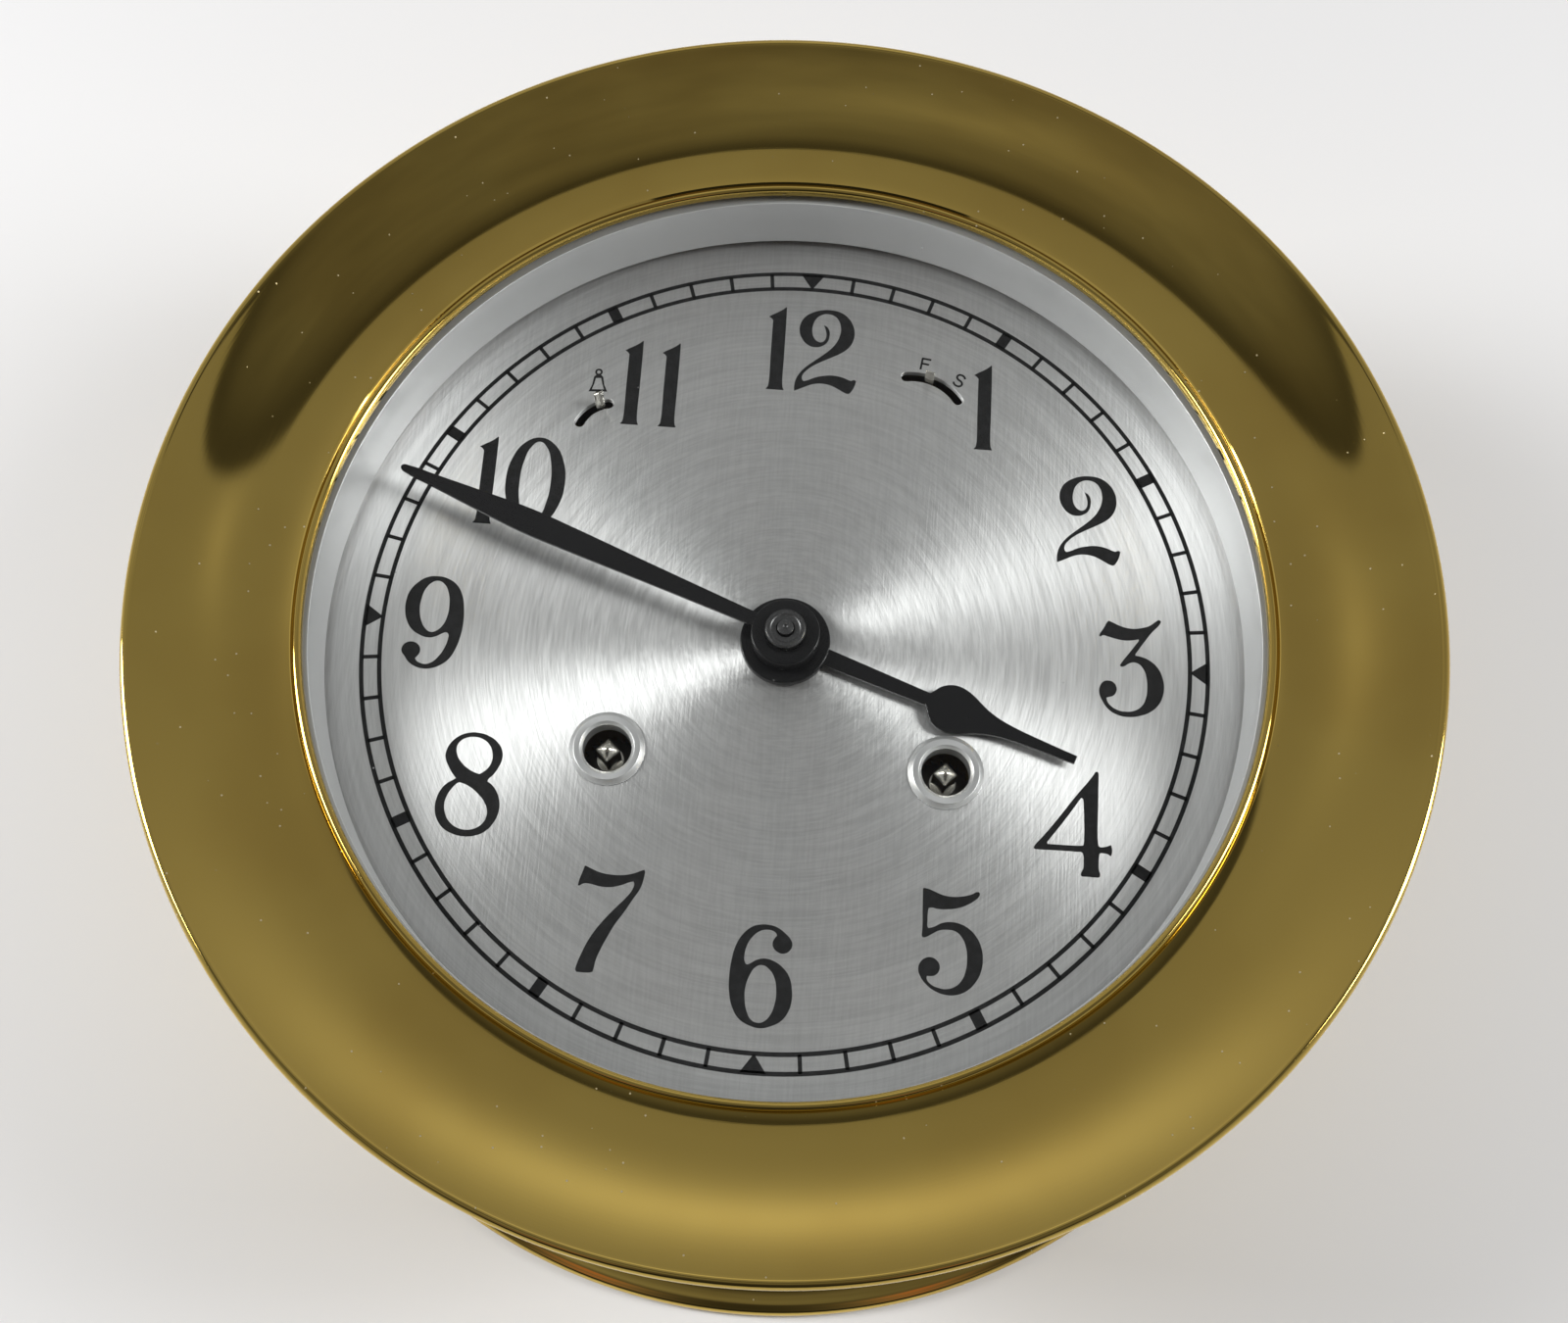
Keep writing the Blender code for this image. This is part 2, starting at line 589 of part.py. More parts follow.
def make_catch():
    """Spring clip that grips the skirt opposite the hinge."""
    inner = DRUM_RADIUS + GAP
    outer = SKIRT_OUTER + GAP
    thick = 0.0010
    outline = [
        (inner, SKIRT_BOTTOM - 0.0160), (inner + thick, SKIRT_BOTTOM - 0.0160), (inner + thick, SKIRT_BOTTOM - 0.0060),
        (outer + thick, SKIRT_BOTTOM - 0.0025), (outer + thick, BEZEL_SEAT - 0.0015),
        (outer, BEZEL_SEAT - 0.0015), (outer, SKIRT_BOTTOM - 0.0020), (inner, SKIRT_BOTTOM - 0.0054),
    ]
    clip = plate("catch_spring", outline, 0, CATCH_WIDTH)
    finish(lie_along_y(clip, CATCH_WIDTH / 2), STEEL)


# ---------------------------------------------------------------- dial and hands


def slot_outline(axis, reach, width, ends):
    """A slot bent round an axis, with round ends."""
    start, end = ends
    half = width / 2
    first = polar(reach, start, axis)
    last = polar(reach, end, axis)
    return [
        *arc(axis, (reach + half, reach + half), start, end, 8),
        *arc(last, (half, half), end, end + 180, 4)[1:-1],
        *arc(axis, (reach - half, reach - half), end, start, 8),
        *arc(first, (half, half), start + 180, start + 360, 4)[1:-1],
    ]


def make_dial():
    """Dial plate with its slots, holes and four feet."""
    holes = [
        circle(CENTRE_HOLE, sides=24),
        circle(GROMMET_BARREL + GAP, TIME_BARREL, 20),
        circle(GROMMET_BARREL + GAP, STRIKE_BARREL, 20),
        slot_outline(REGULATOR_AXIS, REGULATOR_REACH, REGULATOR_SLOT_WIDTH, REGULATOR_SLOT),
        slot_outline(STRIKE_LEVER_AXIS, STRIKE_LEVER_REACH, STRIKE_SLOT_WIDTH, STRIKE_SLOT),
    ]
    dial = plate("dial", circle(DIAL_RADIUS, sides=ROUND_LARGE), DIAL_BACK, DIAL_TOP, holes)
    for i in range(4):
        foot = [(DIAL_BACK + 0.0004, DIAL_FOOT_RADIUS), (FRONT_BOTTOM - 0.0010, 0)]
        fuse(dial, shaft("dial_foot", foot, polar(DIAL_FOOT_CIRCLE, 45 + 90 * i)))
    finish(dial, SILVERED)
    for name, place in (("time", TIME_BARREL), ("strike", STRIKE_BARREL)):
        flange = DIAL_TOP + GAP
        profile = [
            (GROMMET_BORE, flange + 0.0008), (GROMMET_FLANGE - 0.0007, flange + 0.0008), (GROMMET_FLANGE, flange),
            (GROMMET_BARREL, flange), (GROMMET_BARREL, DIAL_BACK - 0.0013), (GROMMET_BORE, DIAL_BACK - 0.0013),
        ]
        finish(turned(f"winding_grommet_{name}", profile, place, 20), SILVERED)


def blade(rows, tip, tip_half):
    """Outline of a hand along +X from half widths at distances."""
    sides = [*rows, (tip, tip_half)]
    return [(x, -half) for x, half in sides] + [(x, half) for x, half in reversed(sides)]


def make_hands():
    """Hour hand on its pipe, minute hand on the cannon pinion, and the nut on the arbor's end."""
    low, high = HOUR_BLADE_BOTTOM, HOUR_BLADE_BOTTOM + HAND_THICKNESS
    hour = plate("hour_hand", blade(HOUR_BLADE, HOUR_HAND_LENGTH, HOUR_TIP_HALF), low, high, turn=90 - HOUR_ANGLE)
    boss = [(high + 0.0001, HOUR_BOSS_RADIUS), (HOUR_BOSS_BOTTOM, 0)]
    fuse(hour, shaft("hour_boss", boss, sides=24))
    cut(hour, shaft("hour_bore", [(NUT_TOP, 0.0037), (DIAL_TOP, 0)], sides=16))
    finish(hour, BLACK)
    neck, neck_half = MINUTE_NECK
    rows = [*MINUTE_BLADE, (MINUTE_HAND_LENGTH - neck, neck_half)]
    low, high = MINUTE_BOSS_TOP - 0.0001 - HAND_THICKNESS, MINUTE_BOSS_TOP - 0.0001
    minute = plate("minute_hand", blade(rows, MINUTE_HAND_LENGTH, MINUTE_TIP_HALF), low, high, turn=90 - MINUTE_ANGLE)
    boss = [(MINUTE_BOSS_TOP, MINUTE_BOSS_RADIUS), (MINUTE_BOSS_BOTTOM, 0)]
    fuse(minute, shaft("minute_boss", boss, sides=24))
    cut(minute, shaft("minute_bore", [(NUT_TOP, 0.0025), (DIAL_TOP, 0)], sides=16))
    finish(minute, BLACK)
    finish(ring("hand_nut", 0.0015, NUT_RADIUS, NUT_BOTTOM, NUT_TOP, sides=24), BLACK)


def make_motion_work():
    """Cannon pinion, minute wheel and hour wheel: the 12 to 1 gearing behind the dial."""
    down = bearing(CENTRE, MINUTE_STUD)
    leaves = teeth(CANNON_PINION, down, True)
    cannon = ring("cannon_pinion", 0.0015, 0.0022, FRONT_TOP + GAP, MINUTE_BOSS_TOP - GAP)
    fuse(cannon, plate("cannon_leaves", leaves, MOTION_LEVEL - 0.0004, MOTION_LEVEL + PINION_LENGTH, [circle(0.0018)]))
    finish(cannon, STEEL)
    wheel_top = MOTION_LEVEL + 0.0014
    minute = ring("minute_wheel", 0.0011, 0.0015, MOTION_LEVEL - GAP, HOUR_WHEEL_LEVEL + PINION_LENGTH, MINUTE_STUD)
    gap = teeth(MINUTE_WHEEL, down + 180, False)
    fuse(minute, plate("minute_wheel_teeth", gap, MOTION_LEVEL, wheel_top, [circle(0.0013)], MINUTE_STUD))
    leaves = teeth(MINUTE_PINION, down + 180, True)
    top = HOUR_WHEEL_LEVEL + PINION_LENGTH - GAP
    fuse(minute, plate("minute_leaves", leaves, wheel_top + 0.0020, top, [circle(0.0013)], MINUTE_STUD))
    finish(minute, TRAIN_BRASS)
    hour = ring("hour_wheel", 0.0025, 0.0034, HOUR_WHEEL_LEVEL - GAP, MINUTE_BOSS_BOTTOM - GAP, sides=16)
    fuse(hour, plate("hour_wheel_teeth", teeth(HOUR_WHEEL, down, False), HOUR_WHEEL_LEVEL,
                     HOUR_WHEEL_LEVEL + WHEEL_THICKNESS, [circle(0.0029, sides=16)]))
    finish(hour, TRAIN_BRASS)


# ---------------------------------------------------------------- movement


def arbor_steps(front_end, radius, pivot=PIVOT_RADIUS):
    """Shaft steps of an arbor whose pivots run in both plates, up to a height in front of them."""
    shoulder = FRONT_BOTTOM - GAP
    front = [(front_end, radius)] if front_end > FRONT_TOP else [(front_end, pivot), (shoulder, radius)]
    return [*front, (BACK_TOP + GAP, pivot), (BACK_BOTTOM + GAP, 0)]


def plate_holes(front):
    """Round holes of a movement plate: (place, radius) of each."""
    run = PIVOT_RADIUS + RUN
    arbor = ARBOR_RADIUS + RUN
    through = arbor if front else run
    pivots = [(place, run) for place in (INTERMEDIATE, THIRD, PIN_ARBOR, FLY_ARBOR)]
    pivots += [(place, through) for place in (FOURTH, ESCAPE, PALLET_ARBOR)]
    pivots += [(CENTRE, 0.0015 if front else run), (HAMMER_ARBOR, run if front else 0.0010 + RUN)]
    winding = WINDING_ARBOR_RADIUS if front else PIVOT_RADIUS * 2
    pivots += [(TIME_BARREL, winding + RUN), (STRIKE_BARREL, winding + RUN)]
    pivots += [(polar(PILLAR_CIRCLE, angle), PILLAR_RADIUS / 2 + RUN) for angle in PILLAR_ANGLES]
    if front:
        pivots += [(polar(DIAL_FOOT_CIRCLE, 45 + 90 * i), DIAL_FOOT_RADIUS + RUN) for i in range(4)]
        pivots += [(polar(LEDGE_SCREW_CIRCLE, 150 + 120 * i), SCREW_RADIUS + RUN) for i in range(3)]
        pivots.append((REGULATOR_AXIS, PIVOT_RADIUS + RUN))
    return [circle(radius, place) for place, radius in pivots]


def make_plates():
    """The two plates, their pillars and the screws that hold the movement to the case's ledge."""
    outline = circle(FRONT_PLATE_RADIUS, sides=ROUND_LARGE)
    front = plate("movement_front_plate", outline, FRONT_BOTTOM, FRONT_TOP, plate_holes(True))
    root = FRONT_TOP - 0.0010
    fuse(front, shaft("minute_stud", [(HOUR_WHEEL_LEVEL + 0.0030, 0.0008), (root, 0)], MINUTE_STUD))
    fuse(front, shaft("strike_stud", [(DIAL_BACK - 0.0033, 0.0015), (root, 0)], STRIKE_LEVER_AXIS))
    for barrel in (TIME_BARREL, STRIKE_BARREL):
        fuse(front, shaft("click_stud", [(FRONT_TOP + 0.0030, 0.0008), (root, 0)],
                          polar(CLICK_OFFSET, CLICK_BEARING, barrel)))
    finish(front, TRAIN_BRASS)
    back = plate("movement_back_plate", circle(BACK_PLATE_RADIUS, sides=32), BACK_BOTTOM, BACK_TOP, plate_holes(False))
    finish(back, TRAIN_BRASS)
    spigot = PILLAR_RADIUS / 2
    for i, angle in enumerate(PILLAR_ANGLES):
        steps = [(FRONT_TOP - GAP, spigot), (FRONT_BOTTOM - GAP, PILLAR_RADIUS), (BACK_TOP + GAP, spigot),
                 (BACK_BOTTOM + GAP, 0)]
        finish(shaft(f"movement_pillar_{i + 1}", steps, polar(PILLAR_CIRCLE, angle)), TRAIN_BRASS)
    for i in range(3):
        place = polar(LEDGE_SCREW_CIRCLE, 150 + 120 * i)
        screw(f"movement_screw_{i + 1}", place, FRONT_TOP + GAP + SCREW_HEAD, False)


def geared(arbor, gears, at):
    """Joins toothed discs, each (outline, bottom, thickness), to an arbor."""
    for i, (outline, bottom, thickness) in enumerate(gears):
        fuse(arbor, plate(f"{arbor.name}_gear_{i}", outline, bottom, bottom + thickness, at=at))
    return arbor


def make_going_train():
    """From the time barrel's great wheel to the escape wheel."""
    to_centre = bearing(INTERMEDIATE, CENTRE)
    to_barrel = bearing(INTERMEDIATE, TIME_BARREL)
    to_third = bearing(CENTRE, THIRD)
    to_fourth = bearing(THIRD, FOURTH)
    to_escape = bearing(FOURTH, ESCAPE)
    lead = (PINION_LENGTH - WHEEL_THICKNESS) / 2
    inner_end = FRONT_TOP - GAP

    intermediate = shaft("intermediate_wheel", arbor_steps(inner_end, STOUT_ARBOR_RADIUS), INTERMEDIATE)
    finish(geared(intermediate, [
        (teeth(INTERMEDIATE_WHEEL, to_centre, True), UPPER_WHEEL, WHEEL_THICKNESS),
        (teeth(BARREL_PINION, to_barrel, False), LOW_WHEEL - lead, PINION_LENGTH + lead),
    ], INTERMEDIATE), TRAIN_BRASS)

    steps = [(NUT_TOP + 0.0004, 0.0012), (FRONT_BOTTOM - GAP, 0.0015), (BACK_TOP + GAP, PIVOT_RADIUS),
             (BACK_BOTTOM + GAP, 0)]
    finish(geared(shaft("centre_wheel", steps), [
        (teeth(CENTRE_PINION, to_centre + 180, False), UPPER_WHEEL - lead, PINION_LENGTH),
        (teeth(CENTRE_WHEEL, to_third, True), MIDDLE_WHEEL, WHEEL_THICKNESS),
    ], CENTRE), TRAIN_BRASS)

    third = shaft("third_wheel", arbor_steps(inner_end, ARBOR_RADIUS), THIRD)
    finish(geared(third, [
        (teeth(THIRD_PINION, to_third + 180, False), MIDDLE_WHEEL - lead, PINION_LENGTH),
        (teeth(THIRD_WHEEL, to_fourth, True), THIRD_LEVEL, WHEEL_THICKNESS),
    ], THIRD), TRAIN_BRASS)

    fourth = shaft("fourth_wheel", arbor_steps(FOURTH_LEVEL + WHEEL_THICKNESS + 0.0002, ARBOR_RADIUS), FOURTH)
    finish(geared(fourth, [
        (teeth(FOURTH_PINION, to_fourth + 180, False), THIRD_LEVEL - lead, PINION_LENGTH),
        (teeth(FOURTH_WHEEL, to_escape, True), FOURTH_LEVEL, WHEEL_THICKNESS),
    ], FOURTH), TRAIN_BRASS)

    to_pallets = bearing(ESCAPE, REGULATOR_AXIS)
    step = 360 / ESCAPE_TEETH
    star = []
    for i in range(ESCAPE_TEETH):
        star.append(polar(ESCAPE_RADIUS, to_pallets + i * step))
        star.append(polar(ESCAPE_RADIUS - ESCAPE_DEPTH, to_pallets + (i + 0.4) * step))
    escape = shaft("escape_wheel", arbor_steps(ESCAPE_LEVEL + WHEEL_THICKNESS + 0.0002, ARBOR_RADIUS), ESCAPE)
    finish(geared(escape, [
        (teeth(ESCAPE_PINION, to_escape + 180, False), FOURTH_LEVEL - 0.0004, WHEEL_THICKNESS + 0.0008),
        (star, ESCAPE_LEVEL, WHEEL_THICKNESS),
    ], ESCAPE), TRAIN_BRASS)


def make_escapement():
    """Pallet lever, balance with its hairspring, cock, and the regulator lever that reaches the dial."""
    toward = bearing(PALLET_ARBOR, ESCAPE)
    along = LEVER_FROM_ESCAPE - 0.0046 * math.cos(math.radians(36))
    aside = 0.0046 * math.sin(math.radians(36))
    fork = math.dist(PALLET_ARBOR, REGULATOR_AXIS) - 0.0016
    outline = [
        (along, aside), (along - 0.0011, aside + 0.0006), (-0.0007, 0.0014), (-0.0018, 0.0006), (-fork, 0.0011),
        (-fork, 0.0005), (-fork + 0.0012, 0), (-fork, -0.0005), (-fork, -0.0011), (-0.0018, -0.0006),
        (-0.0007, -0.0014), (along - 0.0011, -aside - 0.0006), (along, -aside), (0.0013, -0.0009), (0.0013, 0.0009),
    ]
    lever = shaft("pallet_lever", arbor_steps(ESCAPE_LEVEL + WHEEL_THICKNESS + 0.0002, ARBOR_RADIUS), PALLET_ARBOR)
    anchor = plate("pallet_anchor", outline, ESCAPE_LEVEL, ESCAPE_LEVEL + WHEEL_THICKNESS, at=PALLET_ARBOR, turn=toward)
    finish(fuse(lever, anchor), STEEL)

    cock_top = COCK_BOTTOM + 0.0012
    roller = ESCAPE_LEVEL + WHEEL_THICKNESS + 0.0005
    staff = [
        (cock_top - GAP, PIVOT_RADIUS), (COCK_BOTTOM - GAP, 0.0008), (roller + 0.0008, 0.0016), (roller, 0.0008),
        (FRONT_TOP + GAP, PIVOT_RADIUS), (FRONT_BOTTOM + GAP, 0),
    ]
    rim = BALANCE_RADIUS - 0.0012
    halves = [arc((0, 0), (rim, rim), start + 10, start + 170, 8) for start in (0, 180)]
    wheel = plate("balance_rim", circle(BALANCE_RADIUS, sides=24), BALANCE_LEVEL, BALANCE_LEVEL + WHEEL_THICKNESS,
                  halves, REGULATOR_AXIS)
    hub = shaft("balance_hub", [(BALANCE_LEVEL + 0.0016, 0.0020), (BALANCE_LEVEL - 0.0002, 0)], REGULATOR_AXIS)
    balance = shaft("balance_wheel", staff, REGULATOR_AXIS)
    finish(fuse(balance, wheel, hub), TRAIN_BRASS)
    make_hairspring()

    foot = shaft("cock_foot", [(COCK_BOTTOM + 0.0006, 0.0035), (FRONT_TOP + GAP, 0)], COCK_FOOT, 16)
    length = math.dist(COCK_FOOT, REGULATOR_AXIS)
    bar = [*arc((0, 0), (0.0035, 0.0035), 90, 270, 6), *arc((length, 0), (0.0022, 0.0022), -90, 90, 6)]
    cock = plate("balance_cock", bar, COCK_BOTTOM, cock_top, [circle(PIVOT_RADIUS + RUN, (length, 0))], COCK_FOOT,
                 bearing(COCK_FOOT, REGULATOR_AXIS))
    finish(fuse(cock, foot), TRAIN_BRASS)

    finish(dial_lever("regulator_lever", REGULATOR_AXIS, REGULATOR_REACH, REGULATOR_REST, cock_top + GAP,
                      DIAL_TOP + 0.0028, 0.0), STEEL)


def make_hairspring():
    """Flat spiral of the balance spring, as one thin wire."""
    turns, points_per_turn = 2.5, 10
    inner, outer = 0.0019, 0.0055
    wire = 0.00015
    count = int(turns * points_per_turn)
    curve = bpy.data.curves.new("hairspring", "CURVE")
    curve.dimensions = "3D"
    curve.bevel_depth = wire
    curve.bevel_resolution = 0
    curve.use_fill_caps = True
    spline = curve.splines.new("POLY")
    spline.points.add(count)
    height = BALANCE_LEVEL + 0.0024
    for i, point in enumerate(spline.points):
        x, y = polar(inner + (outer - inner) * i / count, 360 * turns * i / count)
        point.co = (x, y, height, 1)
    guide = bpy.data.objects.new("hairspring_path", curve)
    bpy.context.scene.collection.objects.link(guide)
    mesh = bpy.data.meshes.new_from_object(guide.evaluated_get(bpy.context.evaluated_depsgraph_get()))
    bpy.data.objects.remove(guide)
    finish(add("hairspring", mesh, REGULATOR_AXIS), STEEL)


def dial_lever(name, axis, reach, rest, bottom, tab_top, bore):
    """A small lever whose tab stands up through a slot in the dial."""
    thickness = 0.0007
    hub = 0.0028
    half = TAB_WIDTH / 2
    outline = [*arc((0, 0), (hub, hub), 25, 335, 9), (reach + TAB_THICKNESS / 2, -half), (reach + TAB_THICKNESS / 2, half)]
    holes = [circle(bore)] if bore else []
    lever = plate(name, outline, bottom, bottom + thickness, holes, axis, rest)
    tab = block(name + "_tab", (reach - TAB_THICKNESS / 2, -half + 0.0001, bottom + thickness / 2),
                (reach + TAB_THICKNESS / 2 - 0.0001, half - 0.0001, tab_top), axis, rest)
    return fuse(lever, tab)


def make_barrel(side, at, mate):
    """Barrel with its great wheel, cap, mainspring, winding arbor, ratchet wheel and click."""
    bore = WINDING_ARBOR_RADIUS + RUN
    inner = BARREL_DRUM_RADIUS - BARREL_WALL
    floor_top = BARREL_FLOOR + BARREL_WALL
    profile = [
        (inner, BARREL_TOP), (BARREL_DRUM_RADIUS, BARREL_TOP), (BARREL_DRUM_RADIUS, BARREL_FLOOR),
        (bore, BARREL_FLOOR), (bore, floor_top), (inner, floor_top),
    ]
    barrel = turned(f"{side}_barrel", profile, at, 24)
    wheel = teeth(GREAT_WHEEL, bearing(at, mate), True)
    fuse(barrel, plate(f"{side}_great_wheel", wheel, LOW_WHEEL, BARREL_FLOOR + 0.0002, [circle(bore + 0.0002)], at))
    finish(barrel, TRAIN_BRASS)
    cap_top = BARREL_TOP - 0.0002
    cap = circle(inner - GAP, sides=24)
    finish(plate(f"{side}_barrel_cap", cap, cap_top - BARREL_WALL, cap_top, [circle(bore)], at), TRAIN_BRASS)
    make_mainspring(side, at, floor_top + GAP, cap_top - BARREL_WALL - GAP)

    square_top = DIAL_TOP + 0.0006
    steps = [(FRONT_TOP + 0.0077, WINDING_ARBOR_RADIUS), (BACK_TOP + GAP, PIVOT_RADIUS * 2), (BACK_BOTTOM + GAP, 0)]
    arbor = shaft(f"{side}_winding_arbor", steps, at)
    corner = WINDING_SQUARE / math.sqrt(2)
    square = [(0, square_top), (corner * 0.4, square_top), (corner, square_top - 0.0009), (corner, FRONT_TOP + 0.0070),
              (0, FRONT_TOP + 0.0070)]
    finish(fuse(arbor, turned(f"{side}_winding_square", square, at, 4)), STEEL)

    step = 360 / RATCHET_TEETH
    saw = []
    for i in range(RATCHET_TEETH):
        saw.append(polar(RATCHET_RADIUS, i * step))
        saw.append(polar(RATCHET_RADIUS - 0.0009, i * step + 0.5))
    low = FRONT_TOP + 0.0010
    finish(plate(f"{side}_ratchet_wheel", saw, low, low + 0.0014, [circle(bore)], at), STEEL)
    make_click(side, at, low)


def make_click(side, at, bottom):
    """Pawl that drops between the ratchet's teeth; its nose lies just clear of a tooth's face."""
    pivot = polar(CLICK_OFFSET, CLICK_BEARING)
    under = [polar(r, a) for r, a in ((0.0056, 3.5), (0.0064, 13), (0.0067, 24))]
    over = [polar(r, a) for r, a in ((0.0078, 15), (0.0069, 3.2))]
    hub = arc(pivot, (0.0018, 0.0018), 195, -30, 8)
    outline = [(x - pivot[0], y - pivot[1]) for x, y in (*under, *hub, *over)]
    place = (at[0] + pivot[0], at[1] + pivot[1])
    finish(plate(f"{side}_click", outline, bottom, bottom + 0.0014, [circle(0.0011)], place), STEEL)


def make_mainspring(side, at, bottom, top):
    """Flat spiral band inside the barrel."""
    inner = WINDING_ARBOR_RADIUS + 0.0010
    outer = BARREL_DRUM_RADIUS - BARREL_WALL - MAINSPRING_THICKNESS - 0.0006
    count = MAINSPRING_TURNS * 10
    rows = [(inner + (outer - inner) * i / count, 360 * MAINSPRING_TURNS * i / count) for i in range(count + 1)]
    band = [polar(r, a) for r, a in rows] + [polar(r + MAINSPRING_THICKNESS, a) for r, a in reversed(rows)]
    finish(plate(f"{side}_mainspring", band, bottom, top, at=at), STEEL)


def make_strike_train():
    """Pin wheel, fly, hammer, bell and the strike or silent lever."""
    inner_end = FRONT_TOP - GAP
    lead = (PINION_LENGTH - WHEEL_THICKNESS) / 2
    to_fly = bearing(PIN_ARBOR, FLY_ARBOR)
    to_barrel = bearing(PIN_ARBOR, STRIKE_BARREL)
    wheel = shaft("pin_wheel", arbor_steps(inner_end, STOUT_ARBOR_RADIUS), PIN_ARBOR)
    geared(wheel, [
        (teeth(PIN_WHEEL, to_fly, True), UPPER_WHEEL - 0.0010, WHEEL_THICKNESS),
        (teeth(BARREL_PINION, to_barrel, False), LOW_WHEEL - lead, PINION_LENGTH + lead),
    ], PIN_ARBOR)
    pin_foot = UPPER_WHEEL - 0.0010 + WHEEL_THICKNESS / 2
    for i in range(LIFTING_PINS):
        place = polar(LIFTING_PIN_CIRCLE, 140 + (i + 0.5) * 360 / LIFTING_PINS, PIN_ARBOR)
        fuse(wheel, shaft("lifting_pin", [(pin_foot + 0.0026, LIFTING_PIN_RADIUS), (pin_foot, 0)], place, 6))
    finish(wheel, TRAIN_BRASS)

    fly = shaft("fly", arbor_steps(inner_end, 0.0010), FLY_ARBOR)
    geared(fly, [(teeth(FLY_PINION, to_fly + 180, False), UPPER_WHEEL - 0.0010 - lead, PINION_LENGTH)], FLY_ARBOR)
    vane = block("fly_vane", (-0.0080, -0.0003, BACK_TOP + 0.0030), (0.0080, 0.0003, THIRD_LEVEL - 0.0020), FLY_ARBOR, 20)
    finish(fuse(fly, vane), TRAIN_BRASS)
    make_hammer()

    depth = BELL_RIM - BELL_FLOOR
    wall = BELL_WALL
    bell = [
        (BELL_RADIUS, BELL_RIM), (BELL_RADIUS - 0.0010, BELL_FLOOR + 0.50 * depth),
        (BELL_RADIUS - 0.0050, BELL_FLOOR + 0.17 * depth), (BELL_RADIUS - 0.0150, BELL_FLOOR), (0.0023, BELL_FLOOR),
        (0.0023, BELL_FLOOR + wall), (BELL_RADIUS - 0.0155, BELL_FLOOR + wall),
        (BELL_RADIUS - 0.0062, BELL_FLOOR + 0.17 * depth + wall), (BELL_RADIUS - 0.0026, BELL_FLOOR + 0.50 * depth),
        (BELL_RADIUS - 0.0017, BELL_RIM),
    ]
    finish(turned("bell", bell, sides=32), TRAIN_BRASS)
    seat = BELL_FLOOR + wall + GAP
    post = [(BACK_BOTTOM - GAP, 0.0035), (seat, 0.0020), (BELL_FLOOR - 0.0008, 0)]
    finish(shaft("bell_post", post), STEEL)
    finish(dial_lever("strike_silent_lever", STRIKE_LEVER_AXIS, STRIKE_LEVER_REACH, STRIKE_LEVER_REST,
                      DIAL_BACK - 0.0045, DIAL_TOP + 0.0048, 0.0018), STEEL)


def make_hammer():
    """Hammer arbor with its tail by the lifting pins and its arm and head inside the bell."""
    depth = BELL_RIM - BELL_FLOOR
    low, high = BELL_FLOOR + 0.60 * depth, BELL_FLOOR + 0.90 * depth
    middle = (low + high) / 2
    steps = [
        (FRONT_TOP - GAP, PIVOT_RADIUS), (FRONT_BOTTOM - GAP, 0.0010), (low, 0),
    ]
    hammer = shaft("hammer", steps, HAMMER_ARBOR)
    reach = math.dist(HAMMER_ARBOR, HAMMER_HEAD)
    direction = bearing(HAMMER_ARBOR, HAMMER_HEAD)
    arm_half = depth * 0.06
    arm = block("hammer_arm", (-0.0016, -0.0014, middle - arm_half), (reach, 0.0014, middle + arm_half), HAMMER_ARBOR,
                direction)
    head = shaft("hammer_head", [(high, HAMMER_HEAD_RADIUS), (low, 0)], HAMMER_HEAD)
    tail_low = UPPER_WHEEL - 0.0010 + WHEEL_THICKNESS + 0.0005
    tail_reach = HAMMER_TO_PIN_ARBOR - LIFTING_PIN_CIRCLE - LIFTING_PIN_RADIUS - GAP
    tail = block("hammer_tail", (-0.0008, -0.0008, tail_low), (tail_reach, 0.0008, tail_low + 0.0010), HAMMER_ARBOR,
                 bearing(HAMMER_ARBOR, PIN_ARBOR))
    finish(fuse(hammer, arm, head, tail), STEEL)


def main():
    start_scene()
    make_case()
    make_back_cover()
    make_bezel()
    make_hinge()
    make_catch()
    make_dial()
    make_hands()
    make_motion_work()
    make_plates()
    make_going_train()
    make_escapement()
    make_barrel("time", TIME_BARREL, INTERMEDIATE)
    make_barrel("strike", STRIKE_BARREL, PIN_ARBOR)
    make_strike_train()
    settle()


main()
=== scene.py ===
"""A round brass ship's deck clock, lying on its back with its dial up.

Laid out as an add-on: each operator makes one piece, or a group of like pieces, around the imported
model. +Z points out of the dial and +Y to twelve o'clock. Lengths are in metres.
"""

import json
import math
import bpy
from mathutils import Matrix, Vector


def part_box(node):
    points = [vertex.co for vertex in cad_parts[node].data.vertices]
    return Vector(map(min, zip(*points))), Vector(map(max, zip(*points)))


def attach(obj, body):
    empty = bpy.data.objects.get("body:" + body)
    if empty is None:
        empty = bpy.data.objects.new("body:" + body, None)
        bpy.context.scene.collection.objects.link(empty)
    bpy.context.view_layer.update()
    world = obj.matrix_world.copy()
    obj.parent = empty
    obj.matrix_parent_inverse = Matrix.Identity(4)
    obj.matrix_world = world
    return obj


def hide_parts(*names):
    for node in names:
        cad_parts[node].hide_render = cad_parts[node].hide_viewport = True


bl_info = {
    "name": "Ship's deck clock",
    "version": (1, 0, 0),
    "blender": (4, 5, 0),
    "location": "View3D > Sidebar > Deck clock",
    "description": "Makes the visible pieces of a brass ship's deck clock and its studio",
    "category": "Object",
}

import bmesh
import bpy
from bpy.props import FloatProperty, FloatVectorProperty, IntProperty, PointerProperty
from mathutils import Matrix, Vector

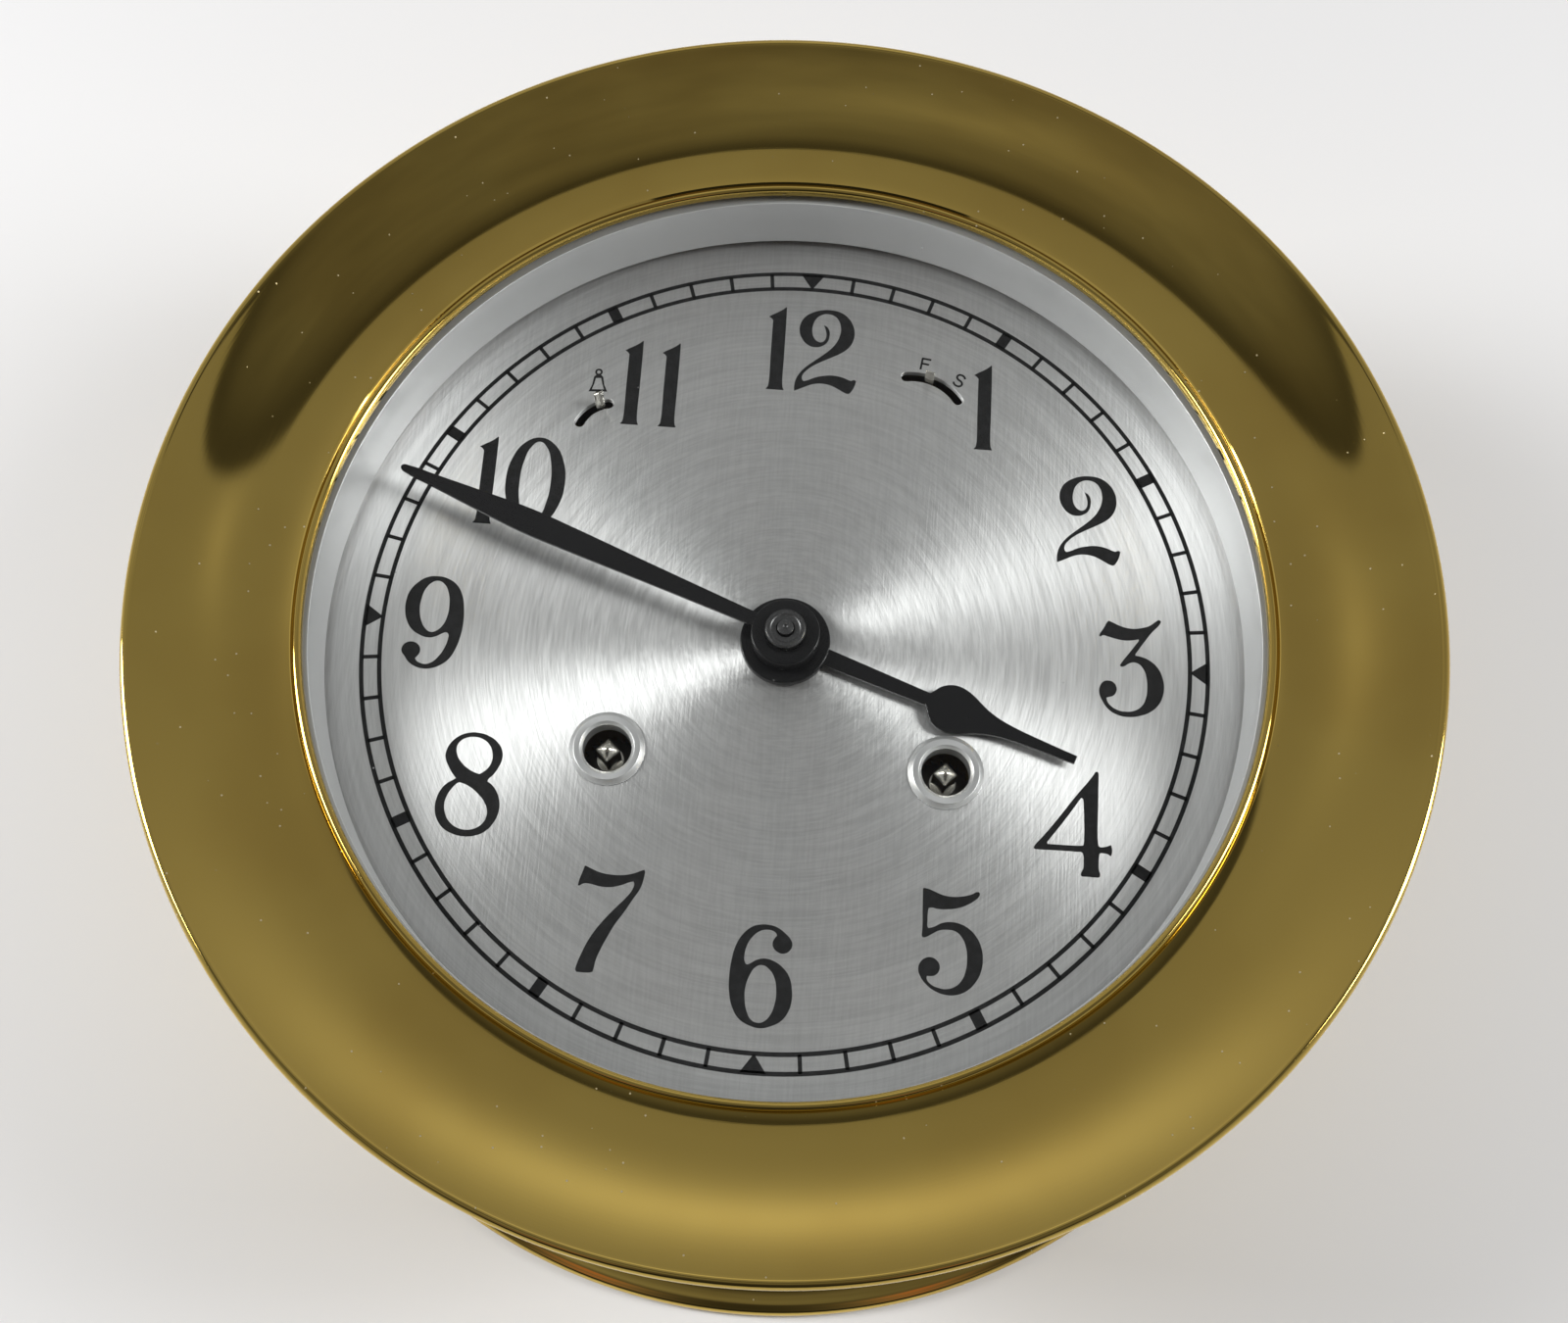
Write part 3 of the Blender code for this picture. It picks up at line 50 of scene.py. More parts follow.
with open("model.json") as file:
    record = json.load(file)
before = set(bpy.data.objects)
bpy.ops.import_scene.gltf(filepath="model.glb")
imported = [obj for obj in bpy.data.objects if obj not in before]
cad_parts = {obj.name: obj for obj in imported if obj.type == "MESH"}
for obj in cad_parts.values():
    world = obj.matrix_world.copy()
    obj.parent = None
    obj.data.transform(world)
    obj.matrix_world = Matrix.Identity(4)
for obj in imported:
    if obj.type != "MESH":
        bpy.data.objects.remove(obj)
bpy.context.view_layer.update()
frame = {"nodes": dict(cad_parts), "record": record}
MM = 0.001


def top(node):
    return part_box(node)[1][2]


def bottom(node):
    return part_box(node)[0][2]


def reach(node):
    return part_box(node)[1][0]


def placed(name, data):
    """A new object in the scene."""
    obj = bpy.data.objects.new(name, data)
    bpy.context.scene.collection.objects.link(obj)
    return obj


def mesh_of(edit, name):
    """A new mesh from what was edited."""
    mesh = bpy.data.meshes.new(name)
    edit.to_mesh(mesh)
    edit.free()
    return mesh


# ---------------------------------------------------------------- sizes and colours


def length(name, description, default):
    return FloatProperty(name=name, description=description, default=default, unit="LENGTH", precision=5)


def colour(name, description, default):
    return FloatVectorProperty(name=name, description=description, default=default, subtype="COLOR", size=3,
                               min=0.0, max=1.0)


class ClockSizes(bpy.types.PropertyGroup):
    """Sizes that a user may change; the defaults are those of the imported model."""

    sides: IntProperty(name="Sides", description="Flats round each large turned piece", default=256, min=48)
    dial_top: length("Dial height", "Front face of the dial above the back of the clock", top("dial"))
    base_radius: length("Base radius", "Outside of the bead round the foot", reach("case"))
    rim_radius: length("Rim radius", "Outside of the bezel's rolled rim", reach("bezel"))
    rim_top: length("Rim height", "Top of the bezel's rolled rim", top("bezel"))
    opening_radius: length("Opening radius", "Inside of the bezel's lip", reach("crystal") - 3.8 * MM)
    lip_top: length("Lip height", "Top of the bezel's lip", 90.9 * MM)
    winding_x: length("Winding hole, sideways", "Winding hole from the upright centre line", 27.4 * MM)
    winding_y: length("Winding hole, down", "Winding hole below the centre", 20.0 * MM)
    drum_wall: length("Drum outside", "Outside of the drum beyond the opening", 12.5 * MM)
    track_outer: length("Track outside", "Middle of the minute track's outer line", 69.7 * MM)
    track_inner: length("Track inside", "Middle of the minute track's inner line", 66.75 * MM)
    track_line: length("Track line", "Width of the minute track's two lines", 0.72 * MM)
    ink: length("Ink", "Height of the printed marks", 0.03 * MM)
    hour_angle: FloatProperty(name="Hour hand", description="Clockwise from twelve",
                              default=math.radians(109.4), subtype="ANGLE")
    minute_angle: FloatProperty(name="Minute hand", description="Clockwise from twelve",
                                default=math.radians(290.5), subtype="ANGLE")


class ClockColours(bpy.types.PropertyGroup):
    """Colours of the finishes."""

    brass: colour("Brass", "Lacquered and polished brass", (0.64, 0.455, 0.105))
    tarnish: colour("Tarnish", "Where the brass has darkened", (0.52, 0.345, 0.07))
    movement: colour("Movement brass", "Plates and wheels of the movement", (0.72, 0.55, 0.25))
    silver: colour("Silvering", "Brushed and silvered dial", (0.78, 0.78, 0.782))
    aluminium: colour("Aluminium", "Satin ring inside the glass", (0.77, 0.775, 0.78))
    black: colour("Black", "Paint of the hands and ink of the dial", (0.0055, 0.0055, 0.006))
    steel: colour("Steel", "Winding squares, screws and springs", (0.74, 0.72, 0.66))
    rubber: colour("Rubber", "Gasket under the glass", (0.05, 0.05, 0.05))
    floor: colour("Floor", "Pale paper under the clock", (0.83, 0.83, 0.835))


def sizes():
    return bpy.context.scene.deck_clock_sizes


def colours():
    return bpy.context.scene.deck_clock_colours


# ---------------------------------------------------------------- node trees


class Wire:
    """A node's output that can be used in an expression; each operation adds its Math node."""

    def __init__(self, graph, socket):
        self.graph = graph
        self.socket = socket

    def maths(self, operation, *values):
        return self.graph.node("ShaderNodeMath", {"operation": operation}, dict(enumerate(values)))

    def __add__(self, other):
        return self.maths("ADD", self, other)

    def __radd__(self, other):
        return self.maths("ADD", other, self)

    def __sub__(self, other):
        return self.maths("SUBTRACT", self, other)

    def __rsub__(self, other):
        return self.maths("SUBTRACT", other, self)

    def __mul__(self, other):
        return self.maths("MULTIPLY", self, other)

    def __rmul__(self, other):
        return self.maths("MULTIPLY", other, self)

    def __truediv__(self, other):
        return self.maths("DIVIDE", self, other)

    def __rtruediv__(self, other):
        return self.maths("DIVIDE", other, self)

    def __pow__(self, other):
        return self.maths("POWER", self, other)

    def __abs__(self):
        return self.maths("ABSOLUTE", self)

    def other(self, name):
        """Another output of the same node."""
        return Wire(self.graph, self.socket.node.outputs[name])

    def between(self, low, high):
        """The value kept between two limits."""
        return self.graph.node("ShaderNodeClamp", {}, {"Value": self, "Min": low, "Max": high})

    def step(self, start, end):
        """0 below start and 1 above end, with a smooth rise between them."""
        return self.graph.node("ShaderNodeMapRange", {"interpolation_type": "SMOOTHSTEP"},
                               {"Value": self, "From Min": start, "From Max": end})


class Graph:
    """Adds nodes to one tree."""

    def __init__(self, tree):
        self.tree = tree

    def node(self, kind, settings=None, inputs=None, out=0):
        made = self.tree.nodes.new(kind)
        for key, value in (settings or {}).items():
            setattr(made, key, value)
        for key, value in (inputs or {}).items():
            if isinstance(value, Wire):
                self.tree.links.new(value.socket, made.inputs[key])
            else:
                made.inputs[key].default_value = value
        return Wire(self, made.outputs[out]) if made.outputs else None

    def mix(self, factor, first, second):
        """Colour between first and second."""
        def four(value):
            return value if isinstance(value, Wire) else (*value, 1.0)
        return self.node("ShaderNodeMix", {"data_type": "RGBA"},
                         {0: factor, 6: four(first), 7: four(second)}, 2)

    def noise(self, vector, scale, detail=2.0):
        return self.node("ShaderNodeTexNoise", {}, {"Vector": vector, "Scale": scale, "Detail": detail})

    def place(self):
        """Object coordinates, and their three parts."""
        point = self.node("ShaderNodeTexCoord", out="Object")
        x = self.node("ShaderNodeSeparateXYZ", {}, {"Vector": point})
        return point, x, x.other("Y"), x.other("Z")

    def round_the_axis(self, along, across):
        """A vector that runs fast across the turning marks and slowly along them, without a seam."""
        _, x, y, z = self.place()
        radius = (x * x + y * y) ** 0.5 + 0.00001
        return self.node("ShaderNodeCombineXYZ", {}, {
            "X": (radius + z) * across, "Y": x / radius * along, "Z": y / radius * along})

    def on_circle(self, radius, turn, height):
        """A place at that radius, turn and height."""
        return self.node("ShaderNodeCombineXYZ", {}, {
            "X": radius * turn.maths("COSINE", turn), "Y": radius * turn.maths("SINE", turn), "Z": height})

    def facing(self, turn):
        """A rotation about the upright axis."""
        return self.node("ShaderNodeCombineXYZ", {}, {"Z": turn})

    def bump(self, height, strength, distance):
        return self.node("ShaderNodeBump", {}, {
            "Strength": strength, "Distance": distance, "Height": height})


def new_finish(name, constants=None):
    """A material with its graph and a function that closes it with what varies."""
    material = bpy.data.materials.new(name)
    material.use_nodes = True
    shader = material.node_tree.nodes["Principled BSDF"]
    for key, value in (constants or {}).items():
        shader.inputs[key].default_value = value
    graph = Graph(material.node_tree)

    def close(**varying):
        for key, wire in varying.items():
            graph.tree.links.new(wire.socket, shader.inputs[key.replace("_", " ")])
        return material
    return graph, close


# ---------------------------------------------------------------- finishes


def specks(graph, point, scale, size):
    """A scatter of dust: 1 in each small spot."""
    cell = graph.node("ShaderNodeTexVoronoi", {"feature": "F1"}, {"Vector": point, "Scale": scale})
    few = graph.node("ShaderNodeSeparateColor", {}, {"Color": cell.other("Color")})
    return (1 - cell.step(size * 0.5, size)) * few.step(0.50, 0.54)


def polished_brass():
    """Lacquered brass, buffed round the axis: faint turning lines, a cloudy polish and specks of dust."""
    graph, close = new_finish("polished brass", {"Metallic": 1.0, "Coat Weight": 0.35,
                                                 "Coat Roughness": 0.03})
    tone = colours()
    point = graph.place()[0]
    cloud = graph.noise(point, 28.0, 3.0)
    smear = graph.noise(point, 190.0, 2.0)
    fine = graph.noise(graph.round_the_axis(9.0, 2600.0), 1.0, 2.0)
    dust = specks(graph, point, 430.0, 0.09)
    base = graph.mix(cloud.step(0.38, 0.72) * 0.55, tuple(tone.brass), tuple(tone.tarnish))
    base = graph.mix(dust * 0.7, base, (0.62, 0.56, 0.42))
    rough = 0.02 + cloud * 0.02 + smear * 0.02 + fine * 0.03 + dust * 0.4
    height = fine * 0.5 + smear * 0.35 + dust * 2.0
    return close(Base_Color=base, Roughness=rough, Normal=graph.bump(height, 0.12, 0.00002))


def movement_brass():
    """Satin brass of plates and wheels, grained one way."""
    graph, close = new_finish("movement brass", {"Metallic": 1.0})
    tone = colours()
    point = graph.place()[0]
    grain = graph.node("ShaderNodeMapping", {}, {"Vector": point, "Scale": (250.0, 6000.0, 250.0)})
    lines = graph.noise(grain, 1.0, 2.0)
    cloud = graph.noise(point, 60.0, 3.0)
    base = graph.mix(cloud, tuple(tone.movement), tuple(0.82 * c for c in tone.movement))
    return close(Base_Color=base, Roughness=0.24 + lines * 0.14, Normal=graph.bump(lines, 0.3, 0.00002))


def silvered_dial():
    """Silvering brushed round the centre, over a faint upright grain, with a little dust."""
    graph, close = new_finish("silvered dial", {"Metallic": 0.82, "Anisotropic": 0.93,
                                               "Anisotropic Rotation": 0.25})
    tone = colours()
    point = graph.place()[0]
    broad = graph.noise(graph.round_the_axis(3.5, 650.0), 1.0, 2.0).step(0.36, 0.64)
    fine = graph.noise(graph.round_the_axis(5.0, 2300.0), 1.0, 3.0).step(0.36, 0.64)
    upright = graph.node("ShaderNodeMapping", {}, {"Vector": point, "Scale": (2600.0, 170.0, 170.0)})
    grain = graph.noise(upright, 1.0, 2.0).step(0.34, 0.66)
    cloud = graph.noise(point, 35.0, 2.0)
    dust = specks(graph, point, 170.0, 0.03)
    shade = broad * 0.3 + fine * 0.4 + grain * 0.3
    base = graph.mix(shade, tuple(0.80 * c for c in tone.silver), tuple(tone.silver))
    base = graph.mix(dust * 0.6, base, (0.95, 0.95, 0.95))
    rough = 0.37 + fine * 0.05 + broad * 0.03 + cloud * 0.04 + dust * 0.3
    return close(Base_Color=base, Roughness=rough,
                 Normal=graph.bump(broad * 0.8 + fine * 0.5 + grain * 0.3, 0.4, 0.00006))


def satin_aluminium(name="satin aluminium", metallic=0.6):
    """Lightly blasted aluminium with turning marks."""
    graph, close = new_finish(name, {"Metallic": metallic, "Anisotropic": 0.3})
    tone = colours()
    point = graph.place()[0]
    marks = graph.noise(graph.round_the_axis(3.0, 2400.0), 1.0, 2.0)
    cloud = graph.noise(point, 45.0, 3.0)
    dust = specks(graph, point, 230.0, 0.035)
    base = graph.mix(cloud, tuple(0.9 * c for c in tone.aluminium), tuple(tone.aluminium))
    base = graph.mix(dust * 0.6, base, (0.9, 0.9, 0.9))
    return close(Base_Color=base, Roughness=0.3 + marks * 0.08 + cloud * 0.05 + dust * 0.3,
                 Normal=graph.bump(marks, 0.15, 0.00002))


def black_paint():
    """Satin black of the hands, with a fine orange peel."""
    graph, close = new_finish("black paint", {"Specular IOR Level": 0.3})
    tone = colours()
    point = graph.place()[0]
    peel = graph.noise(point, 1500.0, 2.0)
    cloud = graph.noise(point, 120.0, 2.0)
    base = graph.mix(cloud, tuple(tone.black), tuple(1.7 * c for c in tone.black))
    return close(Base_Color=base, Roughness=0.2 + peel * 0.1, Normal=graph.bump(peel, 0.12, 0.00003))


def blackened_steel():
    """Blackened steel, rubbed a little paler in small spots."""
    graph, close = new_finish("blackened steel", {"Metallic": 1.0})
    point = graph.place()[0]
    wear = graph.noise(point, 4200.0, 2.0).step(0.5, 0.75)
    base = graph.mix(wear, (0.10, 0.10, 0.102), (0.17, 0.17, 0.172))
    return close(Base_Color=base, Roughness=0.36 + wear * 0.1, Normal=graph.bump(wear, 0.08, 0.00001))


def printed_ink():
    """Matt printing ink, a little uneven."""
    graph, close = new_finish("printed ink", {"Specular IOR Level": 0.25})
    tone = colours()
    point = graph.place()[0]
    mottle = graph.noise(point, 900.0, 3.0)
    base = graph.mix(mottle.step(0.35, 0.75), tuple(tone.black), tuple(2.2 * c for c in tone.black))
    return close(Base_Color=base, Roughness=0.5 + mottle * 0.15)


def polished_steel():
    """Polished steel with fine crossing scratches."""
    graph, close = new_finish("polished steel", {"Metallic": 1.0})
    tone = colours()
    point = graph.place()[0]
    streak = graph.node("ShaderNodeMapping", {}, {"Vector": point, "Scale": (400.0, 400.0, 5000.0)})
    lines = graph.noise(streak, 1.0, 2.0)
    cloud = graph.noise(point, 300.0, 2.0)
    base = graph.mix(cloud, tuple(tone.steel), tuple(0.75 * c for c in tone.steel))
    return close(Base_Color=base, Roughness=0.14 + lines * 0.1 + cloud * 0.06,
                 Normal=graph.bump(lines, 0.15, 0.00001))


def gasket_rubber():
    """Matt black rubber."""
    graph, close = new_finish("gasket rubber")
    point = graph.place()[0]
    pores = graph.noise(point, 2500.0, 3.0)
    tone = tuple(colours().rubber)
    base = graph.mix(pores, tone, tuple(1.5 * c for c in tone))
    return close(Base_Color=base, Roughness=0.62 + pores * 0.2, Normal=graph.bump(pores, 0.2, 0.00005))


def clear_glass():
    """Flat clear glass: a faint mirror over what is behind it, with a trace of dust."""
    material = bpy.data.materials.new("clear glass")
    material.use_nodes = True
    nodes = material.node_tree.nodes
    nodes.remove(nodes["Principled BSDF"])
    graph = Graph(material.node_tree)
    point = graph.place()[0]
    dust = specks(graph, point, 150.0, 0.03)
    film = graph.noise(point, 16.0, 3.0)
    clear = graph.node("ShaderNodeBsdfTransparent", {}, {"Color": (0.985, 0.99, 0.985, 1.0)})
    mirror = graph.node("ShaderNodeBsdfAnisotropic", {}, {"Color": (1.0, 1.0, 1.0, 1.0),
                                                         "Roughness": 0.02 + film * 0.02 + dust * 0.4})
    outside = 1 - graph.node("ShaderNodeNewGeometry").other("Backfacing")
    share = graph.node("ShaderNodeFresnel", {}, {"IOR": 1.26}) * outside
    both = graph.node("ShaderNodeMixShader", {}, {0: share + dust * 0.25, 1: clear, 2: mirror})
    graph.tree.links.new(both.socket, nodes["Material Output"].inputs["Surface"])
    return material


FINISHES = {
    "polished_brass": polished_brass, "movement_brass": movement_brass, "silvered_dial": silvered_dial,
    "blackened_steel": blackened_steel, "satin_aluminium": satin_aluminium,
    "turned_aluminium": lambda: satin_aluminium("turned aluminium", 0.88),
    "black_paint": black_paint, "printed_ink": printed_ink,
    "steel": polished_steel, "gasket_rubber": gasket_rubber, "clear_glass": clear_glass,
}
made_finishes = {}


def finish(name):
    """The finish of that name, made when it is first asked for."""
    if name not in made_finishes:
        made_finishes[name] = FINISHES[name]()
    return made_finishes[name]


# ---------------------------------------------------------------- outlines and sections


def arc(centre, radii, start, end, steps):
    """Points of part of an ellipse, from start to end in degrees, both ends included."""
    angles = [math.radians(start + (end - start) * i / steps) for i in range(steps + 1)]
    return [(centre[0] + radii[0] * math.cos(a), centre[1] + radii[1] * math.sin(a)) for a in angles]


def circle(radius, centre=(0.0, 0.0), steps=48):
    return arc(centre, (radius, radius), 0, 360 - 360 / steps, steps - 1)


def polar(radius, degrees, centre=(0.0, 0.0)):
    angle = math.radians(degrees)
    return centre[0] + radius * math.cos(angle), centre[1] + radius * math.sin(angle)


def softened(corners, radius, steps=4):
    """A closed section with each corner rounded; a corner may give its own radius as a third number."""
    points = []
    count = len(corners)
    for i, corner in enumerate(corners):
        here = Vector(corner[:2])
        size = corner[2] if len(corner) > 2 else radius
        before = Vector(corners[i - 1][:2]) - here
        after = Vector(corners[(i + 1) % count][:2]) - here
        straight = min(before.length, after.length) == 0 or before.angle(after) > math.radians(176)
        if size == 0 or straight:
            points.append(tuple(here))
            continue
        half = before.angle(after) / 2
        back = min(size / math.tan(half), 0.45 * before.length, 0.45 * after.length)
        start, end = here + before.normalized() * back, here + after.normalized() * back
        for k in range(steps + 1):
            t = k / steps
            points.append(tuple((1 - t) ** 2 * start + 2 * t * (1 - t) * here + t * t * end))
    return points


def settled(obj):
    """A plain mesh object from what the modifiers or the curve of obj give, in place of obj."""
    graph = bpy.context.evaluated_depsgraph_get()
    mesh = bpy.data.meshes.new_from_object(obj.evaluated_get(graph))
    mesh.name = obj.name
    mesh.transform(obj.matrix_world)
    name = obj.name
    bpy.data.objects.remove(obj)
    return placed(name, mesh)


def tidy(piece, merge=0.000002, smooth=32):
    """Merges doubled points, turns the faces outwards and shades round faces smooth."""
    edit = bmesh.new()
    edit.from_mesh(piece.data)
    bmesh.ops.remove_doubles(edit, verts=edit.verts, dist=merge)
    bmesh.ops.dissolve_degenerate(edit, edges=edit.edges, dist=merge / 4)
    bmesh.ops.recalc_face_normals(edit, faces=edit.faces)
    edit.to_mesh(piece.data)
    edit.free()
    piece.data.shade_smooth()
    piece.data.set_sharp_from_angle(angle=math.radians(smooth))
    return piece


def painted(piece, material):
    """The piece with that material alone on all its faces."""
    piece.data.materials.clear()
    piece.data.materials.append(material)
    for face in piece.data.polygons:
        face.material_index = 0
    return piece


def joined(name, pieces):
    """One object from several plain meshes."""
    edit = bmesh.new()
    materials = []
    for piece in pieces:
        own = piece.data.materials[0]
        if own not in materials:
            materials.append(own)
        first = len(edit.faces)
        edit.from_mesh(piece.data)
        edit.faces.ensure_lookup_table()
        for face in edit.faces[first:]:
            face.material_index = materials.index(own)
    mesh = mesh_of(edit, name)
    for material in materials:
        mesh.materials.append(material)
    for piece in pieces:
        bpy.data.objects.remove(piece)
    return placed(name, mesh)


def flat_piece(name, outlines, low, height, look, edge=0.0, turn=0.0):
    """A flat piece from closed outlines, those inside others being holes, with a rounded edge.

    A point of an outline is (x, y) on a smooth line, or (x, y, 1) at a corner. Turn is in radians.
    """
    curve = bpy.data.curves.new(name, "CURVE")
    curve.dimensions = "2D"
    curve.fill_mode = "BOTH"
    curve.extrude = max(height / 2 - edge, 0.0000001)
    curve.bevel_depth = edge
    curve.bevel_resolution = 1
    curve.offset = -edge
    curve.resolution_u = 5
    for outline in outlines:
        line = curve.splines.new("BEZIER")
        line.bezier_points.add(len(outline) - 1)
        line.use_cyclic_u = True
        for knot, point in zip(line.bezier_points, outline):
            knot.co = (point[0], point[1], 0)
            kind = "VECTOR" if len(point) > 2 else "AUTO"
            knot.handle_left_type = knot.handle_right_type = kind
    obj = placed(name, curve)
    obj.location.z = low + height / 2
    obj.rotation_euler.z = turn
    bpy.context.view_layer.update()
    return painted(tidy(settled(obj), smooth=12), finish(look))


def sharp(points):
    """An outline whose every point is a corner."""
    return [(x, y, 1) for x, y in points]


# ---------------------------------------------------------------- geometry nodes


def new_tree(name, sockets):
    """A geometry tree with named inputs; gives its graph and the wires of the inputs."""
    tree = bpy.data.node_groups.new(name, "GeometryNodeTree")
    tree.interface.new_socket("Geometry", in_out="OUTPUT", socket_type="NodeSocketGeometry")
    for title, kind in sockets:
        tree.interface.new_socket(title, in_out="INPUT", socket_type=kind)
    graph = Graph(tree)
    source = graph.node("NodeGroupInput")
    return graph, {title: source.other(title) for title, _ in sockets}


def close_tree(graph, geometry, material):
    """Ends a tree with real geometry in its finish."""
    real = graph.node("GeometryNodeRealizeInstances", {}, {"Geometry": geometry})
    coloured = graph.node("GeometryNodeSetMaterial", {}, {"Geometry": real, "Material": material})
    graph.node("NodeGroupOutput", {}, {"Geometry": coloured})
    return graph.tree


def grown(name, maker, values, mesh=None):
    """A plain mesh object from the tree of that maker, with those values at its named inputs."""
    grower = tree(maker)
    obj = placed(name, mesh or bpy.data.meshes.new(name))
    modifier = obj.modifiers.new(grower.name, "NODES")
    modifier.node_group = grower
    for item in grower.interface.items_tree:
        if item.in_out == "INPUT" and item.name in values:
            modifier[item.identifier] = values[item.name]
    return painted(settled(obj), values["Finish"])


def turning_tree():
    """Sweeps a section, drawn beside a carrier circle, round the axis."""
    graph, given = new_tree("Turned piece", [
        ("Section", "NodeSocketGeometry"), ("Sides", "NodeSocketInt"),
        ("Carrier radius", "NodeSocketFloat"), ("Merge distance", "NodeSocketFloat"),
        ("Finish", "NodeSocketMaterial")])
    section = graph.node("GeometryNodeMeshToCurve", {}, {"Mesh": given["Section"]})
    path = graph.node("GeometryNodeCurvePrimitiveCircle", {"mode": "RADIUS"},
                      {"Resolution": given["Sides"], "Radius": given["Carrier radius"]})
    swept = graph.node("GeometryNodeCurveToMesh", {}, {"Curve": path, "Profile Curve": section})
    merged = graph.node("GeometryNodeMergeByDistance", {}, {
        "Geometry": swept, "Distance": given["Merge distance"]})
    return close_tree(graph, merged, given["Finish"])


def marks_tree():
    """The marks of a minute track: thin ticks, wide hour bars, and inward points at the quarters."""
    graph, given = new_tree("Minute marks", [
        ("Count", "NodeSocketInt"), ("Outer radius", "NodeSocketFloat"),
        ("Inner radius", "NodeSocketFloat"), ("Tick width", "NodeSocketFloat"),
        ("Bar width", "NodeSocketFloat"), ("Point width", "NodeSocketFloat"),
        ("Bottom", "NodeSocketFloat"), ("Ink", "NodeSocketFloat"), ("Finish", "NodeSocketMaterial")])
    index = graph.node("GeometryNodeInputIndex")
    turn = index / given["Count"] * (2 * math.pi)
    middle = (given["Outer radius"] + given["Inner radius"]) * 0.5
    deep = given["Outer radius"] - given["Inner radius"]
    facing = graph.facing(turn)
    fifth = turn.maths("COMPARE", turn.maths("FRACT", index / 5.0 + 0.01), 0.01, 0.05)
    quarter = turn.maths("COMPARE", turn.maths("FRACT", index / 15.0 + 0.01), 0.01, 0.02)
    brick = graph.node("GeometryNodeMeshCube", {}, {"Size": (1.0, 1.0, 1.0)})
    wedge = graph.node("GeometryNodeMeshCylinder", {}, {"Vertices": 3, "Radius": 2.0 / 3.0, "Depth": 1.0})
    layers = []
    for chosen, width, shape, radius, long_side in (
        (1 - fifth, given["Tick width"], brick, middle, deep),
        (fifth - quarter, given["Bar width"], brick, middle, deep),
        (quarter, given["Point width"] * 0.866, wedge, given["Outer radius"] - deep / 3.0, deep * -1.0),
    ):
        spot = graph.on_circle(radius, turn, given["Bottom"] + given["Ink"] * 0.5)
        points = graph.node("GeometryNodePoints", {}, {"Count": given["Count"], "Position": spot})
        scale = graph.node("ShaderNodeCombineXYZ", {}, {"X": long_side, "Y": width, "Z": given["Ink"]})
        layers.append(graph.node("GeometryNodeInstanceOnPoints", {}, {
            "Points": points, "Selection": chosen, "Instance": shape, "Rotation": facing, "Scale": scale}))
    whole = graph.node("GeometryNodeJoinGeometry")
    for layer in layers:
        graph.tree.links.new(layer.socket, whole.socket.node.inputs[0])
    return close_tree(graph, whole, given["Finish"])


def screws_tree():
    """Slotted screws standing in a circle, heads down, each cut from a turned blank."""
    graph, given = new_tree("Slotted screws", [
        ("Blank", "NodeSocketGeometry"), ("Count", "NodeSocketInt"), ("Circle radius", "NodeSocketFloat"),
        ("First angle", "NodeSocketFloat"), ("Height", "NodeSocketFloat"),
        ("Slot size", "NodeSocketVector"), ("Finish", "NodeSocketMaterial")])
    index = graph.node("GeometryNodeInputIndex")
    turn = index / given["Count"] * (2 * math.pi) + given["First angle"]
    spot = graph.on_circle(given["Circle radius"], turn, given["Height"])
    slot = graph.node("GeometryNodeMeshCube", {}, {"Size": given["Slot size"]})
    head = graph.node("GeometryNodeMeshBoolean", {"operation": "DIFFERENCE", "solver": "EXACT"},
                      {"Mesh 1": given["Blank"], "Mesh 2": slot})
    points = graph.node("GeometryNodePoints", {}, {"Count": given["Count"], "Position": spot})
    facing = graph.facing(index * 1.9 + 0.4)
    standing = graph.node("GeometryNodeInstanceOnPoints", {}, {
        "Points": points, "Instance": head, "Rotation": facing})
    return close_tree(graph, standing, given["Finish"])


def knurl_tree():
    """Upright ridges round a small nut."""
    graph, given = new_tree("Knurl", [
        ("Count", "NodeSocketInt"), ("Radius", "NodeSocketFloat"), ("Bottom", "NodeSocketFloat"),
        ("Height", "NodeSocketFloat"), ("Depth", "NodeSocketFloat"), ("Finish", "NodeSocketMaterial")])
    index = graph.node("GeometryNodeInputIndex")
    turn = index / given["Count"] * (2 * math.pi)
    spot = graph.on_circle(given["Radius"], turn, given["Bottom"] + given["Height"] * 0.5)
    ridge = graph.node("GeometryNodeMeshCylinder", {}, {"Vertices": 4, "Radius": 1.0, "Depth": 1.0})
    points = graph.node("GeometryNodePoints", {}, {"Count": given["Count"], "Position": spot})
    facing = graph.facing(turn)
    scale = graph.node("ShaderNodeCombineXYZ", {}, {
        "X": given["Depth"], "Y": given["Depth"], "Z": given["Height"]})
    standing = graph.node("GeometryNodeInstanceOnPoints", {}, {
        "Points": points, "Instance": ridge, "Rotation": facing, "Scale": scale})
    return close_tree(graph, standing, given["Finish"])


trees = {}


def tree(maker):
    """The geometry tree of that maker, built when it is first asked for."""
    if maker not in trees:
        trees[maker] = maker()
    return trees[maker]


